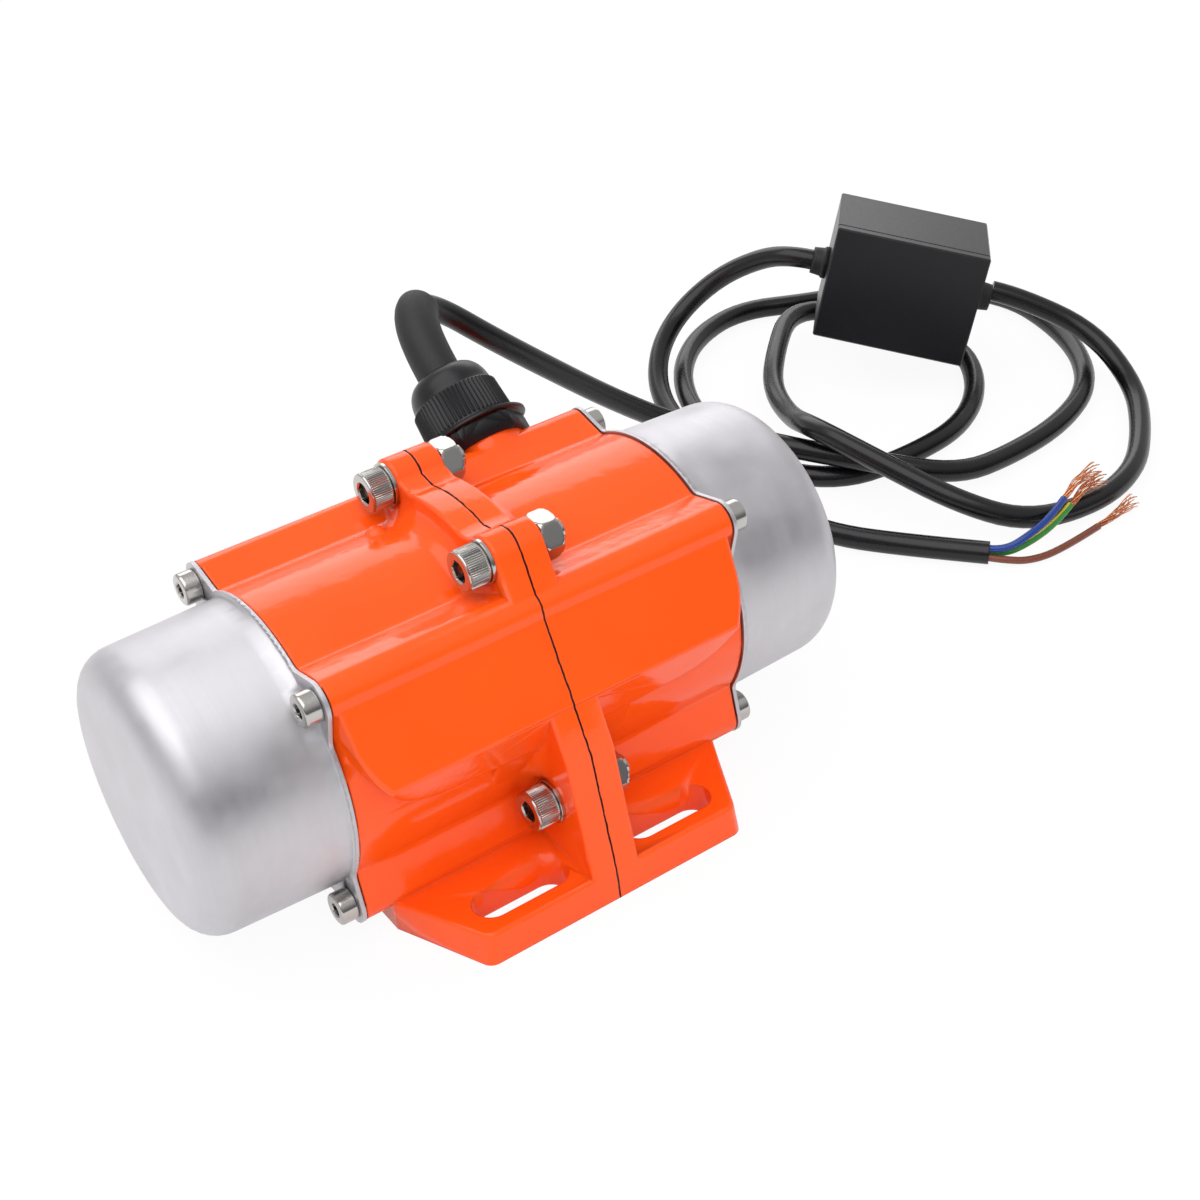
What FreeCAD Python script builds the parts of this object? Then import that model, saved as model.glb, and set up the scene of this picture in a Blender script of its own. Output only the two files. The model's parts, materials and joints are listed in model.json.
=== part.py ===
import FreeCAD, Part
import math
import os

Vec = FreeCAD.Vector
os.makedirs("parts", exist_ok=True)

# Rotary vibration motor, 60 W class, single phase with a capacitor box on its lead.
# Millimetres. X runs along the shaft, Z is up, and the origin is on the base plane below
# the middle of the shaft, where the two housing halves meet.

# Driving dimensions
SHAFT_HEIGHT = 42.4
HALF_LENGTH = 57.4          # split plane to the end face of a housing half
BARREL_R = 39.3
BORE_R = 35.2
FLANGE_T = 7.0              # flange thickness of one half
SEAM_BEVEL = 0.3            # edge break where the halves meet
BASE_T = 9.0                # foot thickness
BASE_HALF_W = 61.4
FOOT_END_X = 38.6           # outer edge of a foot
FOOT_ROOT_X = 50.0          # where the foot meets the body
WALL_Y = 35.5               # outer wall of the lower bosses
SLOT_X, SLOT_Y = 22.5, 50.7
SLOT_LENGTH, SLOT_W = 27.0, 10.4
CAP_SCREW_SQ = 31.0         # half the side of the cap screw square
CAP_R, CAP_END_R = 38.4, 37.6
CAP_END_X = 96.4
CAP_T = 1.1
GASKET_T = 0.5
EAR_R = 5.5
TOP_BOLT = (22.7, 43.0)     # flange bolt places from the shaft axis: across, up
LOW_BOLT = (44.1, -17.8)
PANEL_TILT = math.degrees(math.atan2(0.465, 0.885))
CORD_D = 7.2
CORE_D = 2.3
SLEEVE_D = 12.4
GLAND_TILT = 38.0           # rise of the gland's axis above level
GLAND_HEX_TURN = 50.0       # how far a corner of its hexagon is from level
GLAND_AT = Vec(31.4, 47.5, SHAFT_HEIGHT + 36.0)
BOX_SIZE = Vec(53.0, 40.9, 39.7)
BOX_AT = Vec(203.2, 102.5, 23.3)
BOX_TURN = FreeCAD.Rotation(-44.7, 12.0, -7.0)
BOX_WALL = 2.0
LID_T = 4.2
AXIS = Vec(0, 0, SHAFT_HEIGHT)
X_DIR = Vec(1, 0, 0)
FIT = 0.05                  # radial clearance of a fit

nodes = {}


def place(name, *solids):
    """Keep the solids of one node, as a group where there are several."""
    nodes[name] = solids[0] if len(solids) == 1 else Part.makeCompound(list(solids))


def fuse(solids):
    whole = solids[0].multiFuse(list(solids[1:])) if len(solids) > 1 else solids[0]
    return whole.removeSplitter()


def mirror_x(shape):
    return shape.mirror(Vec(0, 0, 0), X_DIR)


def rod_x(radius, x_low, x_high, across=0.0, up=0.0):
    """A round bar along X, placed from the shaft axis."""
    start = AXIS + Vec(min(x_low, x_high), across, up)
    return Part.makeCylinder(radius, abs(x_high - x_low), start, X_DIR)


def tube_x(outer, inner, x_low, x_high, across=0.0, up=0.0):
    return rod_x(outer, x_low, x_high, across, up).cut(rod_x(inner, x_low - 1, x_high + 1, across, up))


def prism_x(outline, x_low, x_high):
    """A bar along X from a closed outline of (across, up) points about the shaft axis."""
    corners = [AXIS + Vec(x_low, across, up) for across, up in outline]
    return Part.Face(Part.makePolygon(corners + corners[:1])).extrude(Vec(x_high - x_low, 0, 0))


def turned(profile, axis_start=AXIS, axis=X_DIR):
    """A solid of revolution from (along, radius) points on the given axis."""
    side = Vec(0, 0, 1) if abs(axis.z) < 0.9 else X_DIR
    side = (side - axis * side.dot(axis)).normalize()
    corners = [axis_start + axis * along + side * radius for along, radius in profile]
    return Part.Face(Part.makePolygon(corners + corners[:1])).revolve(axis_start, axis, 360)


def arc_points(centre, radius, from_deg, to_deg, steps):
    """Points on an arc of a profile, as (along, radius) pairs."""
    turns = [math.radians(from_deg + (to_deg - from_deg) * i / steps) for i in range(steps + 1)]
    return [(centre[0] + radius * math.cos(a), centre[1] + radius * math.sin(a)) for a in turns]


def corner_lobe(x_low, x_high, y_sign, z_sign, radius):
    """An ear round one corner screw, its sides running in to the round body at 14 degrees."""
    reach = CAP_SCREW_SQ * 0.46
    root_r = radius + (CAP_SCREW_SQ - reach) * math.sqrt(2) * math.sin(math.radians(31))
    tip = rod_x(radius, x_low, x_high, CAP_SCREW_SQ * y_sign, CAP_SCREW_SQ * z_sign)
    root = rod_x(root_r, x_low, x_high, reach * y_sign, reach * z_sign)
    outline = []
    for centre, r in ((CAP_SCREW_SQ, radius), (reach, root_r)):
        for side in (1, -1) if r == radius else (-1, 1):
            turn = math.radians(45 + side * 59)
            outline.append(((centre + r * math.cos(turn)) * y_sign, (centre + r * math.sin(turn)) * z_sign))
    return [tip, root, prism_x(outline, x_low, x_high)]


def lobed_disc(round_r, ear_r, x_low, x_high, fillet):
    """The section that the housing end, the gasket and the cap's rim share."""
    solids = [rod_x(round_r, x_low, x_high)]
    for y_sign in (1, -1):
        for z_sign in (1, -1):
            solids += corner_lobe(x_low, x_high, y_sign, z_sign, ear_r)
    disc = fuse(solids)
    creases = []
    for edge in disc.Edges:
        ends = [v.Point - AXIS for v in edge.Vertexes]
        along_x = len(ends) == 2 and abs(abs(ends[1].x - ends[0].x) - abs(x_high - x_low)) < 1e-3
        if along_x and abs(math.hypot(ends[0].y, ends[0].z) - round_r) < 1e-3:
            creases.append(edge)
    return disc.makeFillet(fillet, creases) if creases else disc


def corner_places():
    return [(CAP_SCREW_SQ * y, CAP_SCREW_SQ * z) for y in (1, -1) for z in (1, -1)]


def bolt_places():
    return [(y * across, up) for across, up in (TOP_BOLT, LOW_BOLT) for y in (1, -1)]


# Housing: two cast halves bolted together at X = 0

RIDGE = (34.0, 35.0)         # where a side panel starts below the upper boss
FOLD = (47.0, 10.3)          # where a side panel turns inward
KINK = (52.6, -1.3)          # where the flange edge turns down to the foot
FOOT_TOP = BASE_T - SHAFT_HEIGHT
FLOOR = -SHAFT_HEIGHT


def flange_outline():
    """The closed edge of the bolted flange, from the crown down to the base."""
    def at(across, up):
        return AXIS + Vec(0, across, up)
    half = [
        Part.Arc(at(-12, 45.0), at(0, 46.6), at(12, 45.0)).toShape(),
        Part.LineSegment(at(12, 45.0), at(17.0, 46.1)).toShape(),
        Part.Arc(at(17.0, 46.1), at(TOP_BOLT[0], 49.6), at(28.5, 46.2)).toShape(),
    ]
    low = [(28.5, 46.2), RIDGE, KINK, (60.4, FOOT_TOP), (BASE_HALF_W, FLOOR)]
    half += [Part.LineSegment(at(*a), at(*b)).toShape() for a, b in zip(low, low[1:])]
    other = [edge.mirror(AXIS, Vec(0, 1, 0)) for edge in half[1:]]
    closing = Part.LineSegment(at(-BASE_HALF_W, FLOOR), at(BASE_HALF_W, FLOOR)).toShape()
    return Part.Wire(Part.__sortEdges__(half + other + [closing]))


def side_panel():
    """The flat flank between the upper boss and the foot, with its large rounded end."""
    core = 20.0
    upper = prism_x([RIDGE, FOLD, (41.4, -3.5), (core, -3.5), (core, 30.0)], 0, HALF_LENGTH)
    end_x, round_r, top_z = 54.6, 21.4, 40.0
    centre = Vec(end_x - round_r, 0, SHAFT_HEIGHT + 21.0)
    low_z = SHAFT_HEIGHT - 2.5

    def outline(y, grow):
        a = Vec(0, y, SHAFT_HEIGHT + top_z)
        b = Vec(end_x + grow, y, SHAFT_HEIGHT + top_z)
        c = Vec(end_x + grow, y, centre.z)
        mid = Vec(centre.x + (round_r + grow) * math.sqrt(0.5), y, centre.z - (round_r + grow) * math.sqrt(0.5))
        d = Vec(centre.x, y, centre.z - round_r - grow)
        e = Vec(0, y, low_z - grow)
        edges = [Part.LineSegment(a, b), Part.LineSegment(b, c), Part.Arc(c, mid, d)]
        edges += [Part.LineSegment(d, e), Part.LineSegment(e, a)]
        return Part.Wire([edge.toShape() for edge in edges])

    rounded = Part.makeLoft([outline(core, 4.0), outline(60.0, -2.0)], True, True)
    near_flange = prism_x([FOLD, (36.9, -12.7), (core, -12.7), (core, 10.0)], 0, 20.5)
    return [soften(upper.common(rounded), 1.6, rim_edges), soften(near_flange, 1.2, end_edges(20.5))]


def soften(solid, radius, wanted):
    """The solid with its chosen edges rounded as a casting's are."""
    return solid.makeFillet(radius, [edge for edge in solid.Edges if wanted(edge)])


def rim_edges(edge):
    """Edges of a side panel that stand clear of the barrel, below the upper boss."""
    away = edge.CenterOfMass - AXIS
    return away.x > 1.0 and away.y > 40.0 and away.x < 56.0


def end_edges(x):
    return lambda edge: abs(edge.CenterOfMass.x - x) < 0.01 and edge.CenterOfMass.y > 38.0


def rounded_outline(corners, radius, which):
    """A closed wire through the corners, with arcs at the chosen ones."""
    edges, starts = [], []
    count = len(corners)
    for i, corner in enumerate(corners):
        back, ahead = corners[i - 1] - corner, corners[(i + 1) % count] - corner
        if i not in which:
            starts.append((corner, corner, None))
            continue
        half = back.getAngle(ahead) / 2
        back.normalize()
        ahead.normalize()
        reach = radius / math.tan(half)
        inward = (back + ahead).normalize()
        starts.append((corner + back * reach, corner + ahead * reach,
                       corner + inward * (radius / math.sin(half) - radius)))
    for i, (enter, leave, middle) in enumerate(starts):
        if middle is not None:
            edges.append(Part.Arc(enter, middle, leave).toShape())
        edges.append(Part.LineSegment(leave, starts[(i + 1) % count][0]).toShape())
    return Part.Wire(edges)


def foot():
    """One side's foot, widening toward the body and drawn in a little toward its top."""
    draft = 1.0
    layers = []
    for z, drawn_in in ((0, 0), (BASE_T, draft)):
        plan = [(0, 20.0), (FOOT_ROOT_X, 20.0), (FOOT_ROOT_X, WALL_Y),
                (FOOT_END_X - drawn_in, BASE_HALF_W - drawn_in), (0, BASE_HALF_W - drawn_in)]
        layers.append(rounded_outline([Vec(x, y, z) for x, y in plan], 3.5, [3]))
    slab = Part.makeLoft(layers, True, True)
    rim = [e for e in slab.Edges if abs(e.CenterOfMass.z - BASE_T) < 0.01 and e.CenterOfMass.y > WALL_Y + 1
           and e.CenterOfMass.x > 1]
    return slab.makeFillet(1.2, rim)


def foot_slot():
    flat = SLOT_LENGTH - SLOT_W
    solids = [Part.makeBox(flat, SLOT_W, 20, Vec(SLOT_X - flat / 2, SLOT_Y - SLOT_W / 2, -5))]
    for end in (-1, 1):
        solids.append(Part.makeCylinder(SLOT_W / 2, 20, Vec(SLOT_X + end * flat / 2, SLOT_Y, -5)))
    return fuse(solids)


def housing_half(with_gland):
    """The right half. The left one is its mirror image without the gland boss."""
    body = lobed_disc(BARREL_R, EAR_R, 0, HALF_LENGTH, 3.0)
    flange = Part.Face(flange_outline()).extrude(Vec(FLANGE_T, 0, 0))
    flange = soften(flange, 0.9, lambda edge: abs(edge.CenterOfMass.x - FLANGE_T) < 0.01 and edge.CenterOfMass.z > 1)
    seam = [e for e in flange.Edges if abs(e.CenterOfMass.x) < 0.01 and e.CenterOfMass.z > 1]
    flange = flange.makeChamfer(SEAM_BEVEL, seam)
    collar_r = 6.0
    collar = turned([(FLANGE_T - 1, 30.0), (FLANGE_T - 1, BARREL_R + collar_r)]
                    + arc_points((FLANGE_T + collar_r, BARREL_R + collar_r), collar_r, 180, 270, 6)
                    + [(FLANGE_T + collar_r, 30.0)])
    collar = collar.common(Part.Face(flange_outline()).extrude(Vec(20, 0, 0)))
    flank = side_panel() + [foot()]
    flank += [shape.mirror(Vec(0, 0, 0), Vec(0, 1, 0)) for shape in flank]
    web = Part.makeBox(FOOT_ROOT_X, 44, 12, Vec(0, -22, 0))
    solids = [body, flange, collar, web] + flank
    gland_dir = gland_axis()
    if with_gland:
        solids.append(Part.makeCylinder(12.4, 20.0, GLAND_AT - gland_dir * 30.5, gland_dir))
    shell = fuse(solids)
    cavity = turned([(-1, 0), (-1, BORE_R), (40.0, BORE_R), (43.0, 22.0), (44.0, 22.0),
                     (44.0, 17.5 + FIT), (55.0 + FIT, 17.5 + FIT), (55.0 + FIT, 11.0), (70.0, 11.0), (70.0, 0)])
    dish = turned([(50.0, 24.0), (50.0, 31.0), (70.0, 33.0), (70.0, 22.0)])
    cuts = [cavity, dish, foot_slot(), foot_slot().mirror(Vec(0, 0, 0), Vec(0, 1, 0))]
    cuts.append(Part.makeBox(44, 60, 1.5, Vec(-1, -30, 0)))
    for across, up in bolt_places():
        cuts.append(rod_x(3.3, -1, FLANGE_T + 1, across, up))
        cuts.append(rod_x(6.7, FLANGE_T, FLANGE_T + 12, across, up))
    for across, up in corner_places():
        cuts.append(rod_x(2.5 + FIT, HALF_LENGTH - 15, HALF_LENGTH + 1, across, up))
    if with_gland:
        cuts.append(Part.makeCylinder(9.9 + FIT, 26.0, GLAND_AT - gland_dir * 34.0, gland_dir))
    return shell.cut(Part.makeCompound(cuts)).removeSplitter().Solids[0]


def gland_axis():
    tilt = math.radians(GLAND_TILT)
    return Vec(0, math.cos(tilt), math.sin(tilt))


# Fasteners

def socket_screw(head_r, head_h, shank_r, length, key_r, head_base, direction):
    """A socket head cap screw lying along X, its head's seat at head_base."""
    bevel = head_r * 0.12
    profile = [(-length, 0), (-length, shank_r - 0.4), (-length + 0.4, shank_r), (0, shank_r), (0, head_r),
               (head_h - bevel, head_r), (head_h, head_r - bevel), (head_h, 0)]
    screw = turned(profile, Vec(0, 0, 0))
    corners = [Vec(head_h * 0.45, key_r * math.cos(math.radians(60 * i)), key_r * math.sin(math.radians(60 * i)))
               for i in range(6)]
    key = Part.Face(Part.makePolygon(corners + corners[:1])).extrude(Vec(head_h, 0, 0))
    screw = screw.cut(key)
    if direction < 0:
        screw = mirror_x(screw)
    return screw.translated(Vec(*head_base))


def hex_nut(across_flats, thick, bore, x_low, across, up):
    """A hexagon nut along X, bevelled on both faces."""
    corner_r = across_flats / math.sqrt(3)
    corners = [(across + corner_r * math.cos(math.radians(60 * i)),
                up + corner_r * math.sin(math.radians(60 * i))) for i in range(6)]
    blank = prism_x(corners, x_low, x_low + thick)
    bevel = (corner_r - across_flats / 2) * 0.9
    envelope = turned([(0, 0), (0, corner_r - bevel), (bevel * 0.6, corner_r), (thick - bevel * 0.6, corner_r),
                       (thick, corner_r - bevel), (thick, 0)], AXIS + Vec(x_low, across, up))
    return blank.common(envelope).cut(rod_x(bore, x_low - 1, x_low + thick + 1, across, up))


def build_housing():
    right = housing_half(True)
    vent_pip = Part.makeSphere(3.0, AXIS + Vec(17.0, 13.0, 36.0))
    left = mirror_x(housing_half(False).fuse(vent_pip))
    place("housing_half_left", left)
    place("housing_half_right", right)
    washer_t = 1.0
    bolts, washers, nuts = [], [], []
    for across, up in bolt_places():
        seat = (-FLANGE_T - washer_t, across, SHAFT_HEIGHT + up)
        bolts.append(socket_screw(5.3, 6.3, 3.0, 2 * FLANGE_T + washer_t + 8.0, 2.85, seat, -1))
        washers.append(tube_x(5.9, 3.2, -FLANGE_T - washer_t, -FLANGE_T, across, up))
        nuts.append(hex_nut(11.2, 5.8, 3.0 + FIT, FLANGE_T, across, up))
    place("flange_bolts", *bolts)
    place("flange_washers", *washers)
    place("flange_nuts", *nuts)


def build_caps():
    """Drawn steel cups over the weights, each on a gasket with four screws."""
    seat = HALF_LENGTH + GASKET_T
    rim = seat + CAP_T
    edge = 9.0
    outside = [(rim, CAP_R)] + arc_points((CAP_END_X - edge, CAP_END_R - edge), edge, 90, 0, 8)
    inner_edge = edge - CAP_T
    inside = arc_points((CAP_END_X - edge, CAP_END_R - edge), inner_edge, 0, 90, 8) + [(seat, CAP_R - CAP_T)]
    cup_profile = [(seat, CAP_R)] + outside + [(CAP_END_X, 0), (CAP_END_X - CAP_T, 0)] + inside
    cup = turned(cup_profile)
    plate = lobed_disc(BARREL_R + 0.6, EAR_R + 0.2, seat, rim, 3.0)
    plate = plate.cut(rod_x(CAP_R - CAP_T, seat - 1, rim + 1))
    gasket = lobed_disc(BARREL_R - 1.0, EAR_R - 1.0, HALF_LENGTH, seat, 3.0)
    gasket = gasket.cut(rod_x(CAP_R - CAP_T - 3.0, HALF_LENGTH - 1, seat + 1))
    screws = []
    for across, up in corner_places():
        hole = rod_x(2.5 + FIT, HALF_LENGTH - 1, rim + 1, across, up)
        plate = plate.cut(hole)
        gasket = gasket.cut(hole)
        screws.append(socket_screw(4.25, 4.6, 2.5, 14.0, 2.05, (rim, across, SHAFT_HEIGHT + up), 1))
    cap = fuse([cup, plate])
    for side, turn in (("right", lambda shape: shape), ("left", mirror_x)):
        place("end_cap_" + side, turn(cap))
        place("cap_gasket_" + side, turn(gasket))
        place("cap_screws_" + side, *[turn(screw) for screw in screws])


# Motor: stator in the housing, rotor on two ball bearings, a pair of weights at each end

BEARING_X = (44.0, 55.0)
BEARING_OUT_R, BEARING_IN_R = 17.5, 7.5
BALL_R, BALL_PITCH_R, BALLS = 2.9, 12.5, 8
SHAFT_END_X = 91.0
SHAFT_END_R = 6.0
WEIGHT_R = 33.0
WEIGHT_T = 12.5
INNER_WEIGHT_X = 60.5
OUTER_WEIGHT_X = INNER_WEIGHT_X + WEIGHT_T + 0.6


def build_stator():
    core = tube_x(BORE_R - 0.1, 20.0, -24, 24)
    slots = []
    for i in range(12):
        slot = Part.makeBox(50, 4.6, 10.5, AXIS + Vec(-25, -2.3, 19.0))
        slot.rotate(AXIS, X_DIR, 30 * i)
        slots.append(slot)
    place("stator_core", core.cut(Part.makeCompound(slots)))
    rings = []
    for side in (-1, 1):
        low, high = sorted((side * 24.2, side * 35.0))
        rings.append(tube_x(30.0, 22.0, low, high))
    place("stator_windings", *rings)


def build_rotor():
    place("rotor_core", tube_x(19.5, 9.0 + FIT, -24, 24))
    place("rotor_end_rings", *[tube_x(19.0, 12.0, *sorted((s * 24.0, s * 30.0))) for s in (-1, 1)])
    half = [(0, 9.0), (40.0, 9.0), (40.0, 8.5), (BEARING_X[0], 8.5), (BEARING_X[0], BEARING_IN_R),
            (56.0, BEARING_IN_R), (56.0, SHAFT_END_R), (SHAFT_END_X - 0.6, SHAFT_END_R),
            (SHAFT_END_X, SHAFT_END_R - 0.6), (SHAFT_END_X, 0)]
    profile = [(-x, r) for x, r in reversed(half)] + half[1:]
    shaft = turned(profile)
    groove_x = OUTER_WEIGHT_X + WEIGHT_T + 0.5
    for side in (-1, 1):
        low, high = sorted((side * groove_x, side * (groove_x + 1.1)))
        shaft = shaft.cut(tube_x(8.0, 5.4, low, high))
        shaft = shaft.cut(key_block(side))
        ring = tube_x(9.0, 5.4 + FIT, *sorted((side * groove_x, side * (groove_x + 1.0))))
        gap = Part.makeBox(2, 10, 10, AXIS + Vec(low - 0.5, -5, 3))
        place("shaft_ring_" + side_name(side), ring.cut(gap))
        place("weight_key_" + side_name(side), key_block(side))
    place("rotor_shaft", shaft)
    ball_x = sum(BEARING_X) / 2
    for side in (-1, 1):
        low, high = sorted(side * x for x in BEARING_X)
        race = Part.makeTorus(BALL_PITCH_R, BALL_R + FIT, AXIS + Vec(side * ball_x, 0, 0), X_DIR)
        name = side_name(side)
        place("bearing_outer_" + name, tube_x(BEARING_OUT_R, 14.4, low, high).cut(race))
        place("bearing_inner_" + name, tube_x(10.6, BEARING_IN_R, low, high).cut(race))
        balls = []
        for i in range(BALLS):
            turn = math.radians(360 / BALLS * i + 10)
            spot = Vec(side * ball_x, BALL_PITCH_R * math.cos(turn), BALL_PITCH_R * math.sin(turn))
            balls.append(Part.makeSphere(BALL_R, AXIS + spot))
        place("bearing_balls_" + name, *balls)


def side_name(side):
    return "right" if side > 0 else "left"


def key_block(side):
    """The key that stops a fixed weight turning on the shaft."""
    low, high = sorted((side * (INNER_WEIGHT_X + 0.5), side * (INNER_WEIGHT_X + WEIGHT_T - 0.5)))
    return Part.makeBox(high - low, 4.0, 4.0, AXIS + Vec(low, -2.0, SHAFT_END_R - 2.0))


def half_moon(low, high, bore):
    """An eccentric weight: half a disc hanging down from a round hub."""
    disc = rod_x(WEIGHT_R, low, high)
    disc = disc.common(Part.makeBox(high - low, 80, 40, AXIS + Vec(low, -40, -40)))
    return fuse([disc, rod_x(12.0, low, high)]).cut(rod_x(bore, low - 1, high + 1))


def build_weights():
    for side in (-1, 1):
        name = side_name(side)
        low, high = sorted((side * INNER_WEIGHT_X, side * (INNER_WEIGHT_X + WEIGHT_T)))
        fixed = half_moon(low, high, SHAFT_END_R).cut(key_block(side))
        place("fixed_weight_" + name, fixed)
        low, high = sorted((side * OUTER_WEIGHT_X, side * (OUTER_WEIGHT_X + WEIGHT_T)))
        middle = (low + high) / 2
        turning = half_moon(low, high, SHAFT_END_R + FIT)
        screw_hole = Part.makeCylinder(2.5, 8.0, AXIS + Vec(middle, 0, 5.0), Vec(0, 0, 1))
        place("adjustable_weight_" + name, turning.cut(screw_hole))
        screw = Part.makeCylinder(2.45, 5.5, AXIS + Vec(middle, 0, SHAFT_END_R + 0.35), Vec(0, 0, 1))
        place("weight_set_screw_" + name, screw)


# Cable gland, its sleeve and the leads

def tapered_hex(across_flats, low, high):
    corner_r = across_flats / math.sqrt(3)
    axis = gland_axis()
    blank = gland_prism([(corner_r, 60 * i + GLAND_HEX_TURN) for i in range(6)], low, high)
    bevel = 0.4 * (corner_r - across_flats / 2)
    envelope = turned([(low, 0), (low, corner_r), (high - bevel, corner_r), (high, corner_r - bevel), (high, 0)],
                      GLAND_AT, axis)
    return blank.common(envelope)


def gland_prism(spokes, low, high):
    """A bar along the gland's axis from (radius, degrees) corners."""
    axis = gland_axis()
    lift = axis.cross(X_DIR)
    corners = [GLAND_AT + axis * low + X_DIR * (r * math.cos(math.radians(a))) + lift * (r * math.sin(math.radians(a)))
               for r, a in spokes]
    return Part.Face(Part.makePolygon(corners + corners[:1])).extrude(axis * (high - low))


def build_gland():
    axis = gland_axis()
    hole_r = SLEEVE_D / 2 + 0.6
    lip = turned([(-6.0, 0), (-5.4, 15.2), (-5.0, 15.7), (-4.4, 15.7), (-4.0, 15.2), (-4.0, 0)], GLAND_AT, axis)
    body = fuse([tapered_hex(26.0, -10.5, -5.2), lip, Part.makeCylinder(9.9, 10.0, GLAND_AT - axis * 18.5, axis),
                 Part.makeCylinder(10.4, 9.5, GLAND_AT - axis * 4.5, axis)])
    body = body.cut(Part.makeCylinder(4.0, 40.0, GLAND_AT - axis * 20, axis))
    body = body.cut(Part.makeCylinder(8.6, 10.0, GLAND_AT - axis * 0.5, axis))
    place("gland_body", body)
    place("gland_seal", turned([(-0.5, 4.0), (-0.5, 8.5), (7.0, 8.5), (7.0, 6.1), (3.9, 6.1), (3.9, 4.0)],
                               GLAND_AT, axis))
    dome = [(7.2 + 7.4 * math.sin(math.radians(15 * i)), 7.2 + 4.5 * math.cos(math.radians(15 * i)))
            for i in range(7)]
    cap = turned([(-3.6, 10.45), (-3.6, 12.6), (-3.2, 13.0), (7.2, 12.2)] + dome
                 + [(14.6, hole_r), (8.0, hole_r), (8.0, 10.45)], GLAND_AT, axis)
    grooves = []
    for i in range(48):
        width = 1.5 if i % 8 == 0 else 0.7
        groove = Part.makeBox(width, 1.0, 8.6, Vec(-width / 2, 12.15, -2.0))
        groove.rotate(Vec(0, 0, 0), Vec(0, 0, 1), 7.5 * i)
        grooves.append(groove)
    grooves = Part.makeCompound(grooves)
    grooves.Placement = FreeCAD.Placement(GLAND_AT, FreeCAD.Rotation(Vec(0, 0, 1), axis))
    place("gland_nut", cap.cut(grooves))


LEAD_ROUTE = [
    (31.4, 53.8, 83.3), (30.9, 65.7, 92.6), (36.5, 80.5, 98.5), (46.5, 86.0, 93.8), (62.0, 81.5, 79.5),
    (82.0, 81.0, 62.0), (103.0, 81.5, 44.0), (124.0, 81.0, 28.0), (146.0, 78.0, 16.5), (163.0, 60.0, 11.6),
    (176.0, 38.0, 11.8), (197.0, 22.0, 6.0), (223.0, 23.0, 3.7), (249.0, 26.5, 3.7), (273.0, 37.0, 3.7),
    (290.0, 56.0, 3.7), (300.0, 80.0, 3.7), (303.5, 106.0, 3.7), (290.0, 129.0, 3.7), (268.0, 143.5, 3.7),
    (244.0, 152.0, 3.7), (220.0, 164.5, 3.7), (195.0, 158.5, 3.7), (174.5, 142.0, 3.7), (161.0, 119.5, 3.7),
    (155.0, 94.5, 3.7), (154.0, 67.5, 3.7), (169.5, 46.5, 3.7), (196.5, 44.0, 3.7), (222.0, 47.0, 3.7),
    (244.0, 61.0, 3.7), (260.5, 83.5, 3.7), (260.0, 107.0, 3.7), (243.0, 133.0, 8.5), (223.0, 139.0, 11.5),
    (200.0, 119.0, 11.0), (183.0, 100.5, 10.5), (172.0, 77.5, 13.0), (162.5, 55.0, 23.0), (168.0, 30.0, 19.5),
    (178.0, 4.0, 12.5), (194.0, -11.0, 5.5), (220.0, -15.5, 3.7), (245.0, -10.0, 3.7), (267.0, 7.0, 3.7),
    (284.5, 26.0, 5.5), (289.0, 51.0, 15.5),
]
SUPPLY_ROUTE = [
    (209.0, 137.0, 39.0), (199.0, 150.0, 30.0), (184.0, 155.0, 18.5), (168.0, 146.5, 11.5), (156.0, 131.0, 6.0),
    (149.0, 109.0, 3.7), (142.0, 82.0, 3.7), (138.0, 54.0, 3.7), (144.0, 26.0, 3.7), (159.0, 5.0, 3.7),
    (175.0, -14.0, 3.7),
]
BLUE_ROUTE = [(175.0, -14.0, 5.3), (178.0, -17.6, 5.3), (185.0, -20.0, 8.5), (195.0, -19.6, 11.0), (205.0, -15.6, 11.8)]
GREEN_ROUTE = [(176.1, -13.1, 2.9), (179.0, -16.6, 2.9), (186.5, -19.2, 5.0), (196.5, -20.2, 8.2), (206.5, -17.0, 9.4)]
BROWN_ROUTE = [(173.9, -14.9, 2.9), (176.6, -18.2, 2.6), (184.0, -22.8, 1.3), (196.0, -24.6, 1.3), (214.0, -22.8, 1.3)]
SLEEVE_PIECES = 4            # the sleeve ends after the lead's second bend
COPPER_RUNS = [
    ((205.0, -15.6, 11.8), (214.0, -12.0, 12.5), (225.0, -9.8, 12.2)),
    ((206.5, -17.0, 9.4), (216.0, -13.9, 10.4), (225.0, -13.2, 10.2)),
    ((214.0, -22.8, 1.3), (222.0, -22.2, 1.5), (232.0, -20.6, 2.2)),
]


def rounded_path(points, pieces=None):
    """Straight runs joined by tangent arcs, each arc as large as its two runs allow.
    Where pieces is given, only that many runs and arcs are kept."""
    points = [Vec(*p) for p in points]
    edges, radii, last = [], [], points[0]
    for before, corner, after in zip(points, points[1:], points[2:]):
        back, ahead = before - corner, after - corner
        shorter = min(back.Length, ahead.Length)
        back.normalize()
        ahead.normalize()
        half_turn = (math.pi - back.getAngle(ahead)) / 2
        radius = 0.45 * shorter / math.tan(half_turn)
        start, end = corner + back * (0.45 * shorter), corner + ahead * (0.45 * shorter)
        inward = (back + ahead).normalize()
        middle = corner + inward * (radius / math.cos(half_turn) - radius)
        edges += [Part.LineSegment(last, start).toShape(), Part.Arc(start, middle, end).toShape()]
        radii.append(radius)
        last = end
    edges.append(Part.LineSegment(last, points[-1]).toShape())
    return Part.Wire(edges[:pieces]), radii


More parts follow.
